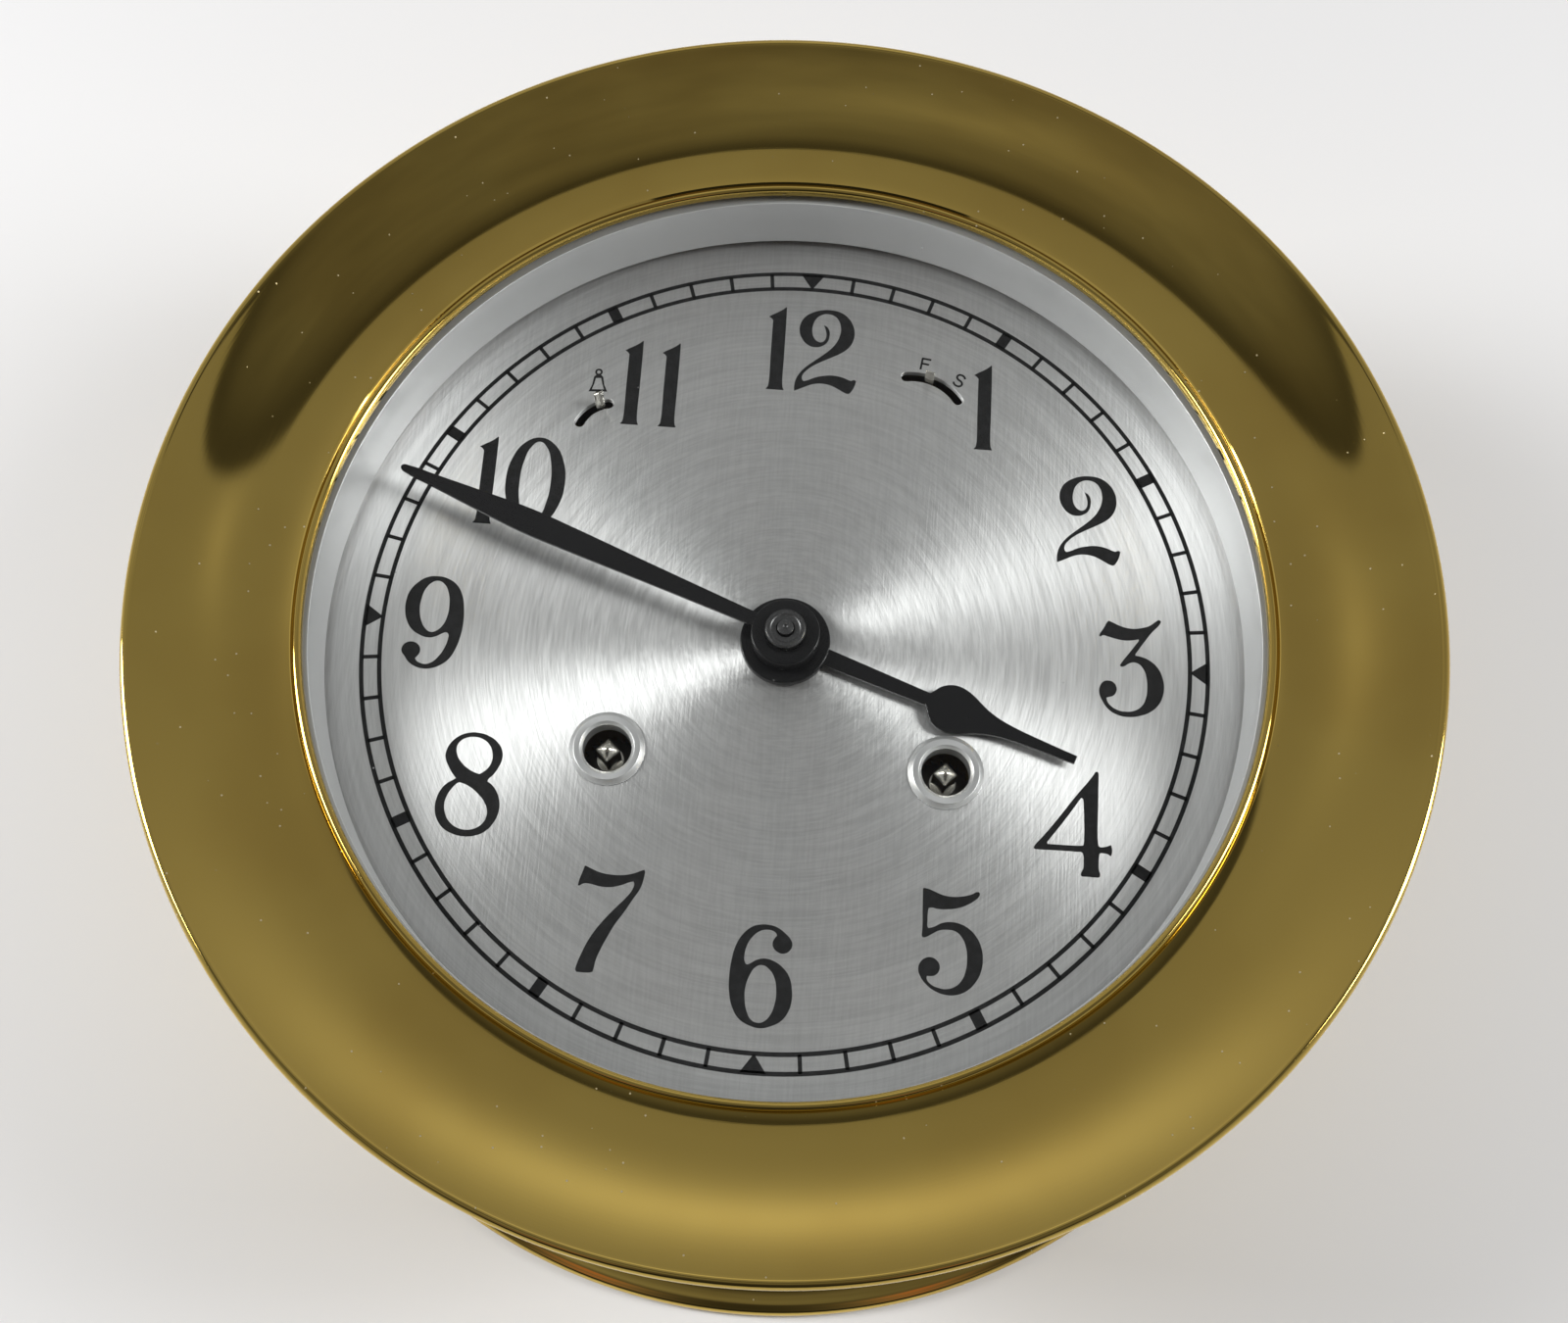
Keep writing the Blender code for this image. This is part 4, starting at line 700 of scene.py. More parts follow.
def turned(name, section, look, sides=None, centre=(0.0, 0.0)):
    """A turned piece from the (radius, height) points of its closed section, round an upright axis."""
    carrier = max(r for r, _ in section)
    on_axis = [i for i, point in enumerate(section) if point[0] == 0]
    edges = [(i, (i + 1) % len(section)) for i in range(len(section))]
    if on_axis:
        edges = [edge for edge in edges if not (edge[0] in on_axis and edge[1] in on_axis)]
    mesh = bpy.data.meshes.new(name)
    mesh.from_pydata([(r - carrier, -z, 0) for r, z in section], edges, [])
    piece = grown(name, turning_tree, {
        "Sides": sides or sizes().sides, "Carrier radius": carrier, "Merge distance": 0.000001,
        "Finish": finish(look)}, mesh)
    piece.data.transform(Matrix.Translation((*centre, 0)))
    return tidy(piece)


def fit(piece, body, slot, *nodes):
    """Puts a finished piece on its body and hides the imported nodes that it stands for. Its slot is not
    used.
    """
    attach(piece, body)
    if nodes:
        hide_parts(*nodes)
    return piece


def softened_copy(name, node, look, edge):
    """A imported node's own shape with its flats merged and its edges broken."""
    mesh = frame["nodes"][node].data.copy()
    obj = placed(name, mesh)
    edit = bmesh.new()
    edit.from_mesh(mesh)
    bmesh.ops.remove_doubles(edit, verts=edit.verts, dist=0.000002)
    bmesh.ops.dissolve_limit(edit, angle_limit=math.radians(1), verts=edit.verts, edges=edit.edges)
    edit.to_mesh(mesh)
    edit.free()
    bevel = obj.modifiers.new("Broken edges", "BEVEL")
    bevel.width = edge
    bevel.segments = 2
    bevel.limit_method = "ANGLE"
    bevel.angle_limit = math.radians(40)
    return painted(tidy(settled(obj), smooth=40), finish(look))


def cut_round(piece, holes, low, height):
    """Cuts round holes, each (place, radius), through a piece."""
    edit = bmesh.new()
    for (x, y), radius in holes:
        bmesh.ops.create_cone(
            edit, cap_ends=True, segments=32, radius1=radius, radius2=radius, depth=height,
            matrix=Matrix.Translation((x, y, low + height / 2)))
    drill = placed("drill", mesh_of(edit, "drill"))
    boolean = piece.modifiers.new("Holes", "BOOLEAN")
    boolean.operation = "DIFFERENCE"
    boolean.solver = "EXACT"
    boolean.object = drill
    look = piece.data.materials[0]
    piece = painted(settled(piece), look)
    bpy.data.objects.remove(drill)
    return tidy(piece)


# ---------------------------------------------------------------- numerals


# Outlines of the numerals in millimetres from each one's centre; a third number marks a corner.
DIGITS = {
    "1": (((1.25, 8.6, 1), (1.3, 7.0), (1.4, 0), (1.5, -6.6), (1.65, -7.25), (1.8, -7.5, 1),
           (1.75, -7.62, 1), (-1.25, -7.62, 1), (-1.3, -7.5, 1), (-1.05, -7.2), (-0.9, -6.6), (-0.95, 0),
           (-1.0, 5.9, 1), (-1.35, 6.3), (-1.75, 6.55, 1), (-1.2, 6.95), (0.1, 7.75), (0.8, 8.3),
           (1.1, 8.6, 1)),),
    "0": (tuple(arc((0, 0), (5.05, 8.3), 0, 330, 11)), tuple(arc((-0.03, 0), (2.65, 7.5), 0, 330, 11))),
    "2": (((-1.0, 4.9, 1), (-0.35, 4.5), (0.05, 3.7), (0.1, 2.8), (-0.1, 1.8), (-0.8, 0.95), (-2.2, 0.45),
           (-3.6, 0.85), (-4.6, 1.9), (-5.2, 3.5), (-5.0, 5.2), (-4.3, 6.4), (-3.0, 7.3), (-1.6, 7.8),
           (-0.1, 7.95), (1.8, 7.6), (3.2, 6.6), (4.1, 5.2), (4.45, 3.8), (4.3, 2.2), (3.7, 0.9),
           (2.6, -0.2), (1.0, -1.2), (-0.8, -2.2), (-2.4, -3.2), (-3.5, -4.2), (-4.1, -5.1),
           (-4.15, -5.9), (-3.85, -6.3, 1), (-3.2, -6.1), (-2.0, -5.5), (-0.5, -5.05), (1.2, -4.85),
           (2.8, -5.1), (4.0, -5.55), (4.35, -5.65), (4.9, -5.45), (5.25, -5.65, 1), (5.05, -6.6),
           (4.6, -7.6), (4.15, -8.15), (3.85, -8.2, 1), (3.3, -8.0), (2.2, -7.4), (0.9, -6.8),
           (-0.7, -6.55), (-2.3, -6.8), (-3.8, -7.5), (-5.0, -8.1), (-5.35, -8.25, 1), (-5.4, -7.4),
           (-5.2, -6.0), (-4.7, -4.9), (-3.8, -3.7), (-2.3, -2.3), (-0.8, -1.0), (0.5, 0.3), (1.4, 1.6),
           (1.95, 3.2), (2.0, 4.6), (1.6, 5.9), (0.8, 6.8), (-0.4, 7.15), (-1.5, 6.9), (-2.4, 6.1),
           (-2.9, 4.8), (-2.95, 3.4), (-2.6, 2.3), (-1.9, 1.6), (-1.2, 1.5), (-0.65, 2.0), (-0.45, 3.0),
           (-0.65, 4.0)),),
    "3": (((-3.95, 8.1, 1), (-3.3, 7.85), (-2.0, 7.3), (-0.2, 6.95), (1.6, 7.2), (2.9, 7.7), (3.9, 8.5),
           (4.4, 8.8), (4.75, 8.55, 1), (4.5, 8.0), (3.3, 6.6), (2.1, 4.9), (1.0, 3.2), (0.55, 2.4),
           (0.6, 2.25, 1), (1.6, 2.1), (3.0, 1.5), (4.3, 0.3), (5.05, -1.3), (5.3, -3.0), (5.05, -4.7),
           (4.3, -6.2), (3.0, -7.4), (1.3, -8.15), (-0.6, -8.45), (-2.4, -8.15), (-3.8, -7.3),
           (-4.8, -5.9), (-5.3, -4.6), (-5.2, -3.5), (-4.6, -2.6), (-3.85, -2.4), (-3.0, -2.65),
           (-2.5, -3.4), (-2.5, -4.2), (-3.0, -4.95), (-3.6, -5.2), (-4.1, -5.35, 1), (-4.0, -5.9),
           (-3.4, -6.7), (-2.3, -7.35), (-1.0, -7.55), (0.5, -7.3), (1.7, -6.4), (2.35, -5.0),
           (2.55, -3.0), (2.4, -1.4), (1.9, 0.0), (1.1, 0.85), (0.2, 1.05), (-0.6, 0.75), (-1.3, 0.25),
           (-1.75, 0.15, 1), (-2.0, 0.4, 1), (-1.5, 1.2), (-0.5, 2.6), (0.6, 4.2), (1.1, 5.05),
           (1.0, 5.15, 1), (0.2, 4.95), (-1.2, 4.8), (-2.8, 5.0), (-4.2, 5.35), (-4.9, 5.45),
           (-5.15, 5.2, 1), (-5.5, 5.35, 1), (-5.3, 5.8), (-4.7, 6.8), (-4.2, 7.8)),),
    "4": (((3.35, 9.3, 1), (3.55, 9.2), (3.65, 8.8, 1), (3.65, 5), (3.75, -2.6), (3.95, -3.05),
           (4.8, -3.05), (5.4, -2.85), (5.8, -2.65, 1), (6.0, -3.4), (5.95, -4.1), (5.8, -4.5, 1),
           (5.3, -4.2), (4.6, -4.1), (4.1, -4.15), (3.95, -4.6), (3.9, -5.5), (3.95, -6.9), (4.15, -7.5),
           (4.1, -7.95, 1), (3.9, -8.1, 1), (1.3, -8.1, 1), (1.1, -7.9, 1), (1.15, -7.5), (1.45, -6.8),
           (1.5, -5.6), (1.45, -4.7), (1.2, -4.2), (0.5, -4.15), (-6.2, -4.2, 1), (-6.5, -4.05, 1),
           (-6.4, -3.7), (-5.2, -2.2), (-3.0, 0.7), (0.2, 5.2), (2.4, 8.1), (3.1, 9.2, 1)),
          ((0.95, 4.75, 1), (1.25, 4.6, 1), (1.35, 3.5), (1.45, -2.9), (1.3, -3.1, 1), (0.4, -3.15),
           (-4.2, -3.2, 1), (-4.4, -3.0, 1), (-4.0, -2.4), (-2.0, 0.4), (0.8, 4.6, 1))),
    "5": (((-4.7, 8.35, 1), (-4.0, 8.25), (-3.0, 7.9), (-1.6, 7.4), (0, 7.25), (1.6, 7.45), (2.9, 7.85),
           (3.9, 8.3), (4.15, 8.1, 1), (4.1, 7.7), (3.4, 6.9), (2.2, 6.1), (0.8, 5.5), (-0.8, 5.2),
           (-2.4, 5.15), (-3.4, 5.3), (-3.8, 5.2, 1), (-3.9, 4.6), (-3.9, 3.2), (-3.85, 2.2),
           (-3.7, 2.0, 1), (-2.9, 2.25), (-1.6, 2.95), (-0.2, 3.2), (1.3, 3.0), (2.7, 2.3), (3.9, 1.1),
           (4.7, -0.5), (5.0, -2.3), (4.8, -4.2), (4.0, -6.0), (2.7, -7.4), (1.1, -8.15), (-0.5, -8.25),
           (-2.2, -7.8), (-3.7, -6.8), (-4.7, -5.5), (-5.0, -4.4), (-4.7, -3.4), (-4.0, -2.75),
           (-3.1, -2.55), (-2.2, -2.95), (-1.7, -3.7), (-1.75, -4.6), (-2.3, -5.3), (-3.0, -5.5),
           (-3.6, -5.5, 1), (-3.6, -6.0), (-2.9, -6.8), (-1.7, -7.25), (-0.5, -7.35), (0.8, -6.9),
           (1.8, -5.9), (2.4, -4.3), (2.55, -2.5), (2.3, -0.6), (1.6, 0.9), (0.6, 1.75), (-0.8, 1.95),
           (-2.1, 1.7), (-3.2, 1.05), (-4.2, 0.5), (-4.55, 0.5, 1), (-4.7, 0.8, 1), (-4.65, 2.0),
           (-4.75, 5), (-4.85, 8.2, 1)),),
    "6": (((0.5, 8.3), (2.0, 8.0), (3.4, 7.1), (4.3, 6.2), (4.6, 5.3), (4.2, 4.4), (3.3, 3.9), (2.4, 4.1),
           (1.7, 4.7), (1.5, 5.5), (1.75, 6.2), (2.1, 6.65, 1), (2.0, 6.95), (1.5, 7.35), (0.6, 7.5),
           (-0.6, 7.2), (-1.8, 6.1), (-2.5, 4.7), (-2.75, 3.2), (-2.6, 2.2), (-2.3, 1.85), (-1.9, 1.95),
           (-0.9, 2.6), (0.4, 2.95), (2.0, 2.6), (3.5, 1.6), (4.5, 0.3), (5.0, -1.5), (5.1, -3.2),
           (4.7, -5.0), (3.7, -6.5), (2.2, -7.4), (0.5, -7.85), (-1.3, -7.5), (-2.9, -6.6), (-4.0, -5.0),
           (-4.65, -2.8), (-4.85, -0.3), (-4.7, 2.3), (-4.2, 4.7), (-3.2, 6.6), (-1.7, 7.9),
           (-0.5, 8.25)),
          ((0.1, 1.9), (1.3, 1.3), (2.2, 0.0), (2.6, -2.0), (2.5, -4.0), (1.9, -5.8), (1.0, -6.8),
           (0.2, -7.05), (-0.9, -6.7), (-1.7, -5.5), (-2.2, -3.4), (-2.2, -1.6), (-1.7, 0.2),
           (-0.9, 1.5))),
    "7": (((-5.15, 8.5, 1), (-4.3, 8.15), (-2.8, 7.6), (-1.0, 7.35), (0.8, 7.4), (2.4, 7.75), (3.8, 8.35),
           (4.2, 8.5, 1), (4.35, 8.1, 1), (4.2, 6.9), (3.8, 5.4), (2.9, 3.8), (1.7, 1.6), (0.4, -0.5),
           (-0.6, -2.6), (-1.4, -4.5), (-2.0, -6.3), (-2.2, -7.7), (-2.3, -8.15, 1), (-2.7, -8.3),
           (-4.8, -8.35, 1), (-5.05, -8.0, 1), (-4.9, -7.2), (-4.3, -5.3), (-3.5, -3.3), (-2.5, -1.5),
           (-1.0, 0.6), (0.4, 2.3), (1.7, 3.8), (2.6, 5.2), (2.8, 6.2), (2.65, 6.5, 1), (2.2, 6.4),
           (0.8, 5.8), (-0.9, 5.35), (-2.6, 5.35), (-4.2, 5.65), (-5.1, 5.65), (-5.8, 5.25, 1),
           (-6.05, 5.25, 1), (-5.9, 6.2), (-5.5, 7.6), (-5.3, 8.4, 1)),),
    "8": (((0, 9.0), (1.9, 8.6), (3.5, 7.6), (4.4, 6.2), (4.55, 4.9), (4.2, 3.6), (3.4, 2.1), (2.7, 1.25),
           (2.65, 0.95, 1), (3.3, 0.55), (4.3, -0.6), (4.95, -2.2), (5.0, -4.0), (4.4, -5.8), (3.3, -7.2),
           (1.7, -8.05), (0, -8.3), (-1.9, -8.0), (-3.5, -7.2), (-4.6, -5.9), (-5.2, -4.2), (-5.15, -2.4),
           (-4.6, -0.8), (-3.7, 0.3), (-2.8, 0.9), (-2.5, 1.15, 1), (-2.9, 1.6), (-3.9, 3.0), (-4.6, 4.5),
           (-4.6, 5.6), (-4.1, 6.9), (-3.0, 8.1), (-1.6, 8.8)),
          ((-0.3, 8.25), (1.2, 7.9), (2.3, 7.0), (2.9, 5.6), (2.9, 4.2), (2.3, 3.0), (1.5, 2.3),
           (1.2, 2.1, 1), (0.6, 2.25), (-0.8, 2.9), (-2.0, 3.9), (-2.8, 5.1), (-3.0, 6.3), (-2.6, 7.3),
           (-1.6, 8.0)),
          ((-1.85, 0.5, 1), (-1.2, 0.35), (0, -0.15), (1.4, -1.2), (2.5, -2.4), (3.1, -3.6), (3.2, -4.6),
           (2.8, -5.8), (1.7, -6.8), (0.2, -7.2), (-1.3, -6.95), (-2.7, -6.0), (-3.5, -4.7), (-3.8, -3.2),
           (-3.5, -1.7), (-2.8, -0.4), (-2.2, 0.3))),
    "9": (((-0.4, 8.4), (1.3, 8.1), (2.9, 7.1), (4.0, 5.4), (4.6, 3.0), (4.8, 0.5), (4.6, -2.0),
           (4.1, -4.1), (3.2, -6.0), (2.0, -7.1), (0.5, -7.8), (-0.8, -7.95), (-2.3, -7.6), (-3.5, -6.8),
           (-4.1, -6.0), (-4.7, -5.2), (-4.7, -4.4), (-4.2, -3.7), (-3.3, -3.4), (-2.3, -3.7),
           (-1.75, -4.4), (-1.7, -5.2), (-2.0, -5.8), (-2.35, -6.25, 1), (-2.0, -6.7), (-1.4, -7.0),
           (-0.6, -7.15), (0.4, -6.8), (1.5, -5.6), (2.3, -4.0), (2.65, -2.4), (2.6, -1.7), (2.2, -1.4),
           (1.7, -1.55), (0.6, -2.2), (-0.6, -2.5), (-2.2, -2.1), (-3.6, -1.2), (-4.6, 0.3), (-5.1, 2.0),
           (-5.15, 3.8), (-4.7, 5.6), (-3.6, 7.1), (-2.2, 8.1)),
          ((-0.3, 7.6), (0.8, 7.1), (1.7, 5.6), (2.1, 3.4), (2.0, 1.4), (1.4, -0.3), (0.4, -1.3),
           (-0.4, -1.5), (-1.4, -0.9), (-2.2, 0.4), (-2.7, 2.3), (-2.65, 4.2), (-2.2, 6.0),
           (-1.3, 7.2))),
}

# Each hour: where its numeral's digits stand on the dial, in millimetres.
HOURS = {
    1: (("1", 31.0, 45.5),), 2: (("2", 49.8, 26.3),), 3: (("3", 57.2, 0.1),), 4: (("4", 48.4, -27.3),),
    5: (("5", 29.5, -47.4),), 6: (("6", 0.1, -55.0),), 7: (("7", -23.7, -47.9),), 8: (("8", -48.7, -27.8),),
    9: (("9", -58.2, -0.6),), 10: (("1", -52.88, 25.5), ("0", -44.47, 26.2)),
    11: (("1", -29.92, 45.75), ("1", -23.42, 45.75)), 12: (("1", -5.43, 54.3), ("2", 3.55, 54.97)),
}


def ribbon(points, width):
    """Outline of a stroke of even width along a line of points."""
    sides = ([], [])
    for i, point in enumerate(points):
        before = Vector(points[max(i - 1, 0)])
        after = Vector(points[min(i + 1, len(points) - 1)])
        along = (after - before).normalized()
        across = Vector((-along.y, along.x)) * width / 2
        for side, sign in zip(sides, (1, -1)):
            side.append(tuple(Vector(point) + sign * across))
    return sharp(sides[0] + sides[1][::-1])


def scaled(outline, x, y, tilt=0.0):
    """An outline given in millimetres, tilted by degrees and moved to its place in metres."""
    cos, sin = math.cos(math.radians(tilt)), math.sin(math.radians(tilt))
    return [((x + p[0] * cos - p[1] * sin) * MM, (y + p[0] * sin + p[1] * cos) * MM, *p[2:])
            for p in outline]


# ---------------------------------------------------------------- operators


class PieceOperator:
    """What the operators share."""

    bl_options = {"REGISTER", "UNDO"}

    def execute(self, context):
        self.make()
        return {"FINISHED"}


class DECKCLOCK_OT_case(PieceOperator, bpy.types.Operator):
    """Make the drum with its flared base flange and the bead round its foot"""

    bl_idname = "deck_clock.case"
    bl_label = "Case"

    def make(self):
        size = sizes()
        drum = size.opening_radius + size.drum_wall
        foot = size.base_radius - 1.63 * MM
        seat = top("case")
        cove = arc((foot, 22.0 * MM), (drum - foot, -19.1 * MM), 0, 90, 40)
        bead_centre = (size.base_radius - 1.12 * MM, 1.3 * MM)
        bead = arc(bead_centre, (1.12 * MM, 1.3 * MM), 90, -90, 16)
        recess = drum - 1.0 * MM
        inner = drum - 2.0 * MM
        section = softened([
            (inner, seat), (drum, seat), *[(*p, 0) for p in cove], *[(*p, 0) for p in bead],
            (recess, 0), (recess, 4.2 * MM), (inner - 5.0 * MM, 4.2 * MM), (inner - 5.0 * MM, 56.0 * MM),
            (inner, 56.0 * MM)], 0.25 * MM)
        shell = turned("case_shell", section, "polished_brass")
        holes = [(polar(drum + 8.5 * MM, 90 + 120 * i), 2.4 * MM) for i in range(3)]
        shell = cut_round(shell, holes, -1.0 * MM, 30 * MM)
        fit(shell, "case", "polished_brass", "case")


class DECKCLOCK_OT_back(PieceOperator, bpy.types.Operator):
    """Make the back cover and its three slotted screws"""

    bl_idname = "deck_clock.back"
    bl_label = "Back cover"

    def make(self):
        low, high = bottom("back_cover"), top("back_cover")
        radius = reach("back_cover")
        section = softened([(0, high), (radius, high), (radius, low), (0, low)], 0.2 * MM)
        section = [point for point in section if point[0] >= 0]
        cover = turned("back_cover_disc", section, "polished_brass")
        fit(cover, "case", "polished_brass", "back_cover")
        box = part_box("back_cover_screw_1")
        head_radius = (box[1][0] - box[0][0]) / 2
        place = Vector(((box[0][0] + box[1][0]) / 2, (box[0][1] + box[1][1]) / 2))
        head, whole = 1.3 * MM, box[1][2] - box[0][2]
        blank_section = softened([
            (0, whole, 0), (1.0 * MM, whole), (1.0 * MM, head, 0), (head_radius, head), (head_radius, 0),
            (0, 0, 0)], 0.2 * MM)
        blank = turned("blank", blank_section, "steel", sides=32)
        screws = grown("back_cover_screws", screws_tree, {
            "Count": 3, "Circle radius": place.length, "First angle": math.radians(30), "Height": box[0][2],
            "Slot size": (5.0 * MM, 0.55 * MM, 1.1 * MM), "Finish": finish("steel")}, blank.data)
        bpy.data.objects.remove(blank)
        tidy(screws)
        fit(screws, "case", "steel", *[f"back_cover_screw_{i}" for i in (1, 2, 3)])


class DECKCLOCK_OT_bezel(PieceOperator, bpy.types.Operator):
    """Make the dished bezel with its rolled rim and its lip"""

    bl_idname = "deck_clock.bezel"
    bl_label = "Bezel"

    def make(self):
        size = sizes()
        opening, rim, high = size.opening_radius, size.rim_radius, size.rim_top
        lip = size.lip_top
        start, end = opening + 1.75 * MM, rim - 1.396 * MM
        low_edge, high_edge = lip + 0.4 * MM, high - 0.111 * MM
        steps = 60
        face = []
        for i in range(steps + 1):
            t = i / steps
            face.append((start + (end - start) * t, low_edge + (high_edge - low_edge) * t ** 1.8))
        lip_bead = arc((opening + 0.72 * MM, lip - 0.32 * MM), (0.72 * MM, 0.72 * MM), 180, 25, 16)
        bead = arc((rim - 0.95 * MM, high - 0.95 * MM), (0.95 * MM, 0.95 * MM), 115, -90, 28)
        skirt = opening + 14.9 * MM
        back = arc((skirt, 95.45 * MM), (rim - 2.0 * MM - skirt, -8.95 * MM), 0, 90, 28)
        glass = reach("crystal") + 0.3 * MM
        plain = [(*p, 0) for p in (*lip_bead, *face, *bead, *back)]
        section = softened([
            (opening, lip - 1.0 * MM, 0.0), *plain, (skirt, 78.0 * MM), (skirt - 2.0 * MM, 78.0 * MM),
            (skirt - 2.0 * MM, 86.0 * MM), (glass, 86.0 * MM), (glass, lip - 1.0 * MM)], 0.25 * MM)
        ring = turned("bezel_ring", section, "polished_brass")
        fit(ring, "bezel", "polished_brass", "bezel")


class DECKCLOCK_OT_glass(PieceOperator, bpy.types.Operator):
    """Make the flat glass, its gasket and the satin ring below it"""

    bl_idname = "deck_clock.glass"
    bl_label = "Glass and reflector ring"

    def make(self):
        size = sizes()
        radius = reach("crystal")
        low, high = bottom("crystal"), top("crystal")
        glass = turned("crystal_glass", [
            (0, high), (radius - 0.3 * MM, high), (radius, high - 0.3 * MM), (radius, low + 0.3 * MM),
            (radius - 0.3 * MM, low), (0, low)], "clear_glass")
        fit(glass, "bezel", "clear_glass", "crystal")
        low, high = bottom("crystal_gasket"), top("crystal_gasket")
        inner = size.opening_radius + 1.9 * MM
        gasket = turned("crystal_gasket_ring", softened([
            (inner, high), (radius, high), (radius, low), (inner, low)], 0.15 * MM), "gasket_rubber")
        fit(gasket, "bezel", "gasket_rubber", "crystal_gasket")
        inner = size.opening_radius - 0.3 * MM
        outer = inner + 0.7 * MM
        high = bottom("crystal") - 0.08 * MM
        low = bottom("reflector_ring")
        flange = top("reflector_ring") - 0.9 * MM
        ring = turned("reflector_sleeve", softened([
            (inner, high, 0.12 * MM), (outer + 1.2 * MM, high), (outer + 1.2 * MM, high - 0.4 * MM),
            (outer, high - 0.4 * MM), (outer, flange), (radius, flange),
            (radius, flange - 1.2 * MM), (outer, flange - 1.2 * MM), (outer, low, 0.05 * MM),
            (inner + 0.45 * MM, low, 0.05 * MM), (inner, low + 0.6 * MM, 0.1 * MM)], 0.1 * MM),
            "satin_aluminium")
        fit(ring, "bezel", "satin_aluminium", "reflector_ring")


class DECKCLOCK_OT_dial(PieceOperator, bpy.types.Operator):
    """Make the dial plate with its slots, holes and feet"""

    bl_idname = "deck_clock.dial"
    bl_label = "Dial plate"

    # Each slot: its lever's axis, its radius and width in millimetres, and its ends in degrees.
    SLOTS = (((18.9, 41.6), 9.4, 1.75, (35.0, 99.0)), ((-32.4, 35.7), 6.2, 1.75, (101.0, 159.0)))

    def make(self):
        size = sizes()
        radius = reach("dial")
        winding = [(sign * size.winding_x, -size.winding_y) for sign in (1, -1)]
        outlines = [circle(radius, steps=96), circle(4.2 * MM, steps=24)]
        outlines += [circle(5.2 * MM, place, 32) for place in winding]
        for axis, middle, width, ends in self.SLOTS:
            half = width / 2
            last, first = polar(middle, ends[1], axis), polar(middle, ends[0], axis)
            slot = [*arc(axis, (middle + half,) * 2, *ends, 12),
                    *arc(last, (half, half), ends[1], ends[1] + 180, 8)[1:-1],
                    *arc(axis, (middle - half,) * 2, *ends[::-1], 12),
                    *arc(first, (half, half), ends[0] + 180, ends[0] + 360, 8)[1:-1]]
            outlines.append([(x * MM, y * MM) for x, y in slot])
        thickness = 1.2 * MM
        plate = flat_piece("dial_disc", outlines, size.dial_top - thickness, thickness, "silvered_dial",
                           0.08 * MM)
        low, high = bottom("dial"), size.dial_top - 0.9 * MM
        foot = softened([(0, high, 0), (1.8 * MM, high), (1.8 * MM, low), (0, low, 0)], 0.15 * MM)
        feet = [turned(f"foot_{i}", foot, "silvered_dial", 24, polar(radius - 13.5 * MM, 45 + 90 * i))
                for i in range(4)]
        dial = joined("dial_plate", [plate, *feet])
        fit(dial, "case", "silvered_dial", "dial")


class DECKCLOCK_OT_printing(PieceOperator, bpy.types.Operator):
    """Print the minute track, the numerals and the small marks on the dial"""

    bl_idname = "deck_clock.printing"
    bl_label = "Dial printing"

    def make(self):
        size = sizes()
        ink = size.ink
        low = size.dial_top - ink / 3
        half = size.track_line / 2
        track = [grown("ticks", marks_tree, {
            "Count": 60, "Outer radius": size.track_outer, "Inner radius": size.track_inner,
            "Tick width": 0.65 * MM, "Bar width": 1.9 * MM, "Point width": 4.1 * MM, "Bottom": low,
            "Ink": ink, "Finish": finish("printed_ink")})]
        for i, radius in enumerate((size.track_outer, size.track_inner)):
            section = [(radius - half, low + ink), (radius + half, low + ink), (radius + half, low),
                       (radius - half, low)]
            track.append(turned(f"line_{i}", section, "printed_ink"))
        fit(joined("minute_track", track), "case", "black_paint")

        numerals = []
        for hour, digits in HOURS.items():
            for i, (digit, x, y) in enumerate(digits):
                outlines = [scaled(outline, x, y) for outline in DIGITS[digit]]
                numerals.append(flat_piece(f"hour_{hour}_{i}", outlines, low, ink, "printed_ink"))
        fit(joined("hour_numerals", numerals), "case", "black_paint")

        stroke = 0.36
        fast = [ribbon([(-0.7, -1.1), (-0.7, 1.1)], stroke), ribbon([(-0.84, 1.1), (0.8, 1.1)], stroke),
                ribbon([(-0.7, 0.1), (0.6, 0.1)], stroke)]
        slow = [ribbon([*arc((0, 0.58), (0.72, 0.56), 15, 255, 10),
                        *arc((0, -0.55), (0.78, 0.6), 85, -165, 10)], stroke)]
        marks = [scaled(part, 20.7, 53.45, -8) for part in fast]
        marks += [scaled(part, 26.7, 50.8, -28) for part in slow]
        pieces = [flat_piece(f"mark_{i}", [outline], low, ink, "printed_ink")
                  for i, outline in enumerate(marks)]
        bell = [sharp([(-0.8, 0.2), (-1.05, -1.3), (-1.6, -2.6), (1.6, -2.6), (1.05, -1.3), (0.8, 0.2),
                       (0.45, 0.6), (-0.45, 0.6)]),
                sharp([(-0.45, 0.0), (0.45, 0.0), (0.75, -1.3), (1.05, -2.2), (-1.05, -2.2),
                       (-0.75, -1.3)])]
        loop = [circle(0.65, (0, 1.15), 16), circle(0.32, (0, 1.15), 16)]
        clapper = [circle(0.42, (0, -2.95), 12)]
        for i, shape in enumerate((bell, loop, clapper)):
            outlines = [scaled(outline, -35.8, 46.6, 3) for outline in shape]
            pieces.append(flat_piece(f"bell_{i}", outlines, low, ink, "printed_ink"))
        fit(joined("lever_marks", pieces), "case", "black_paint")


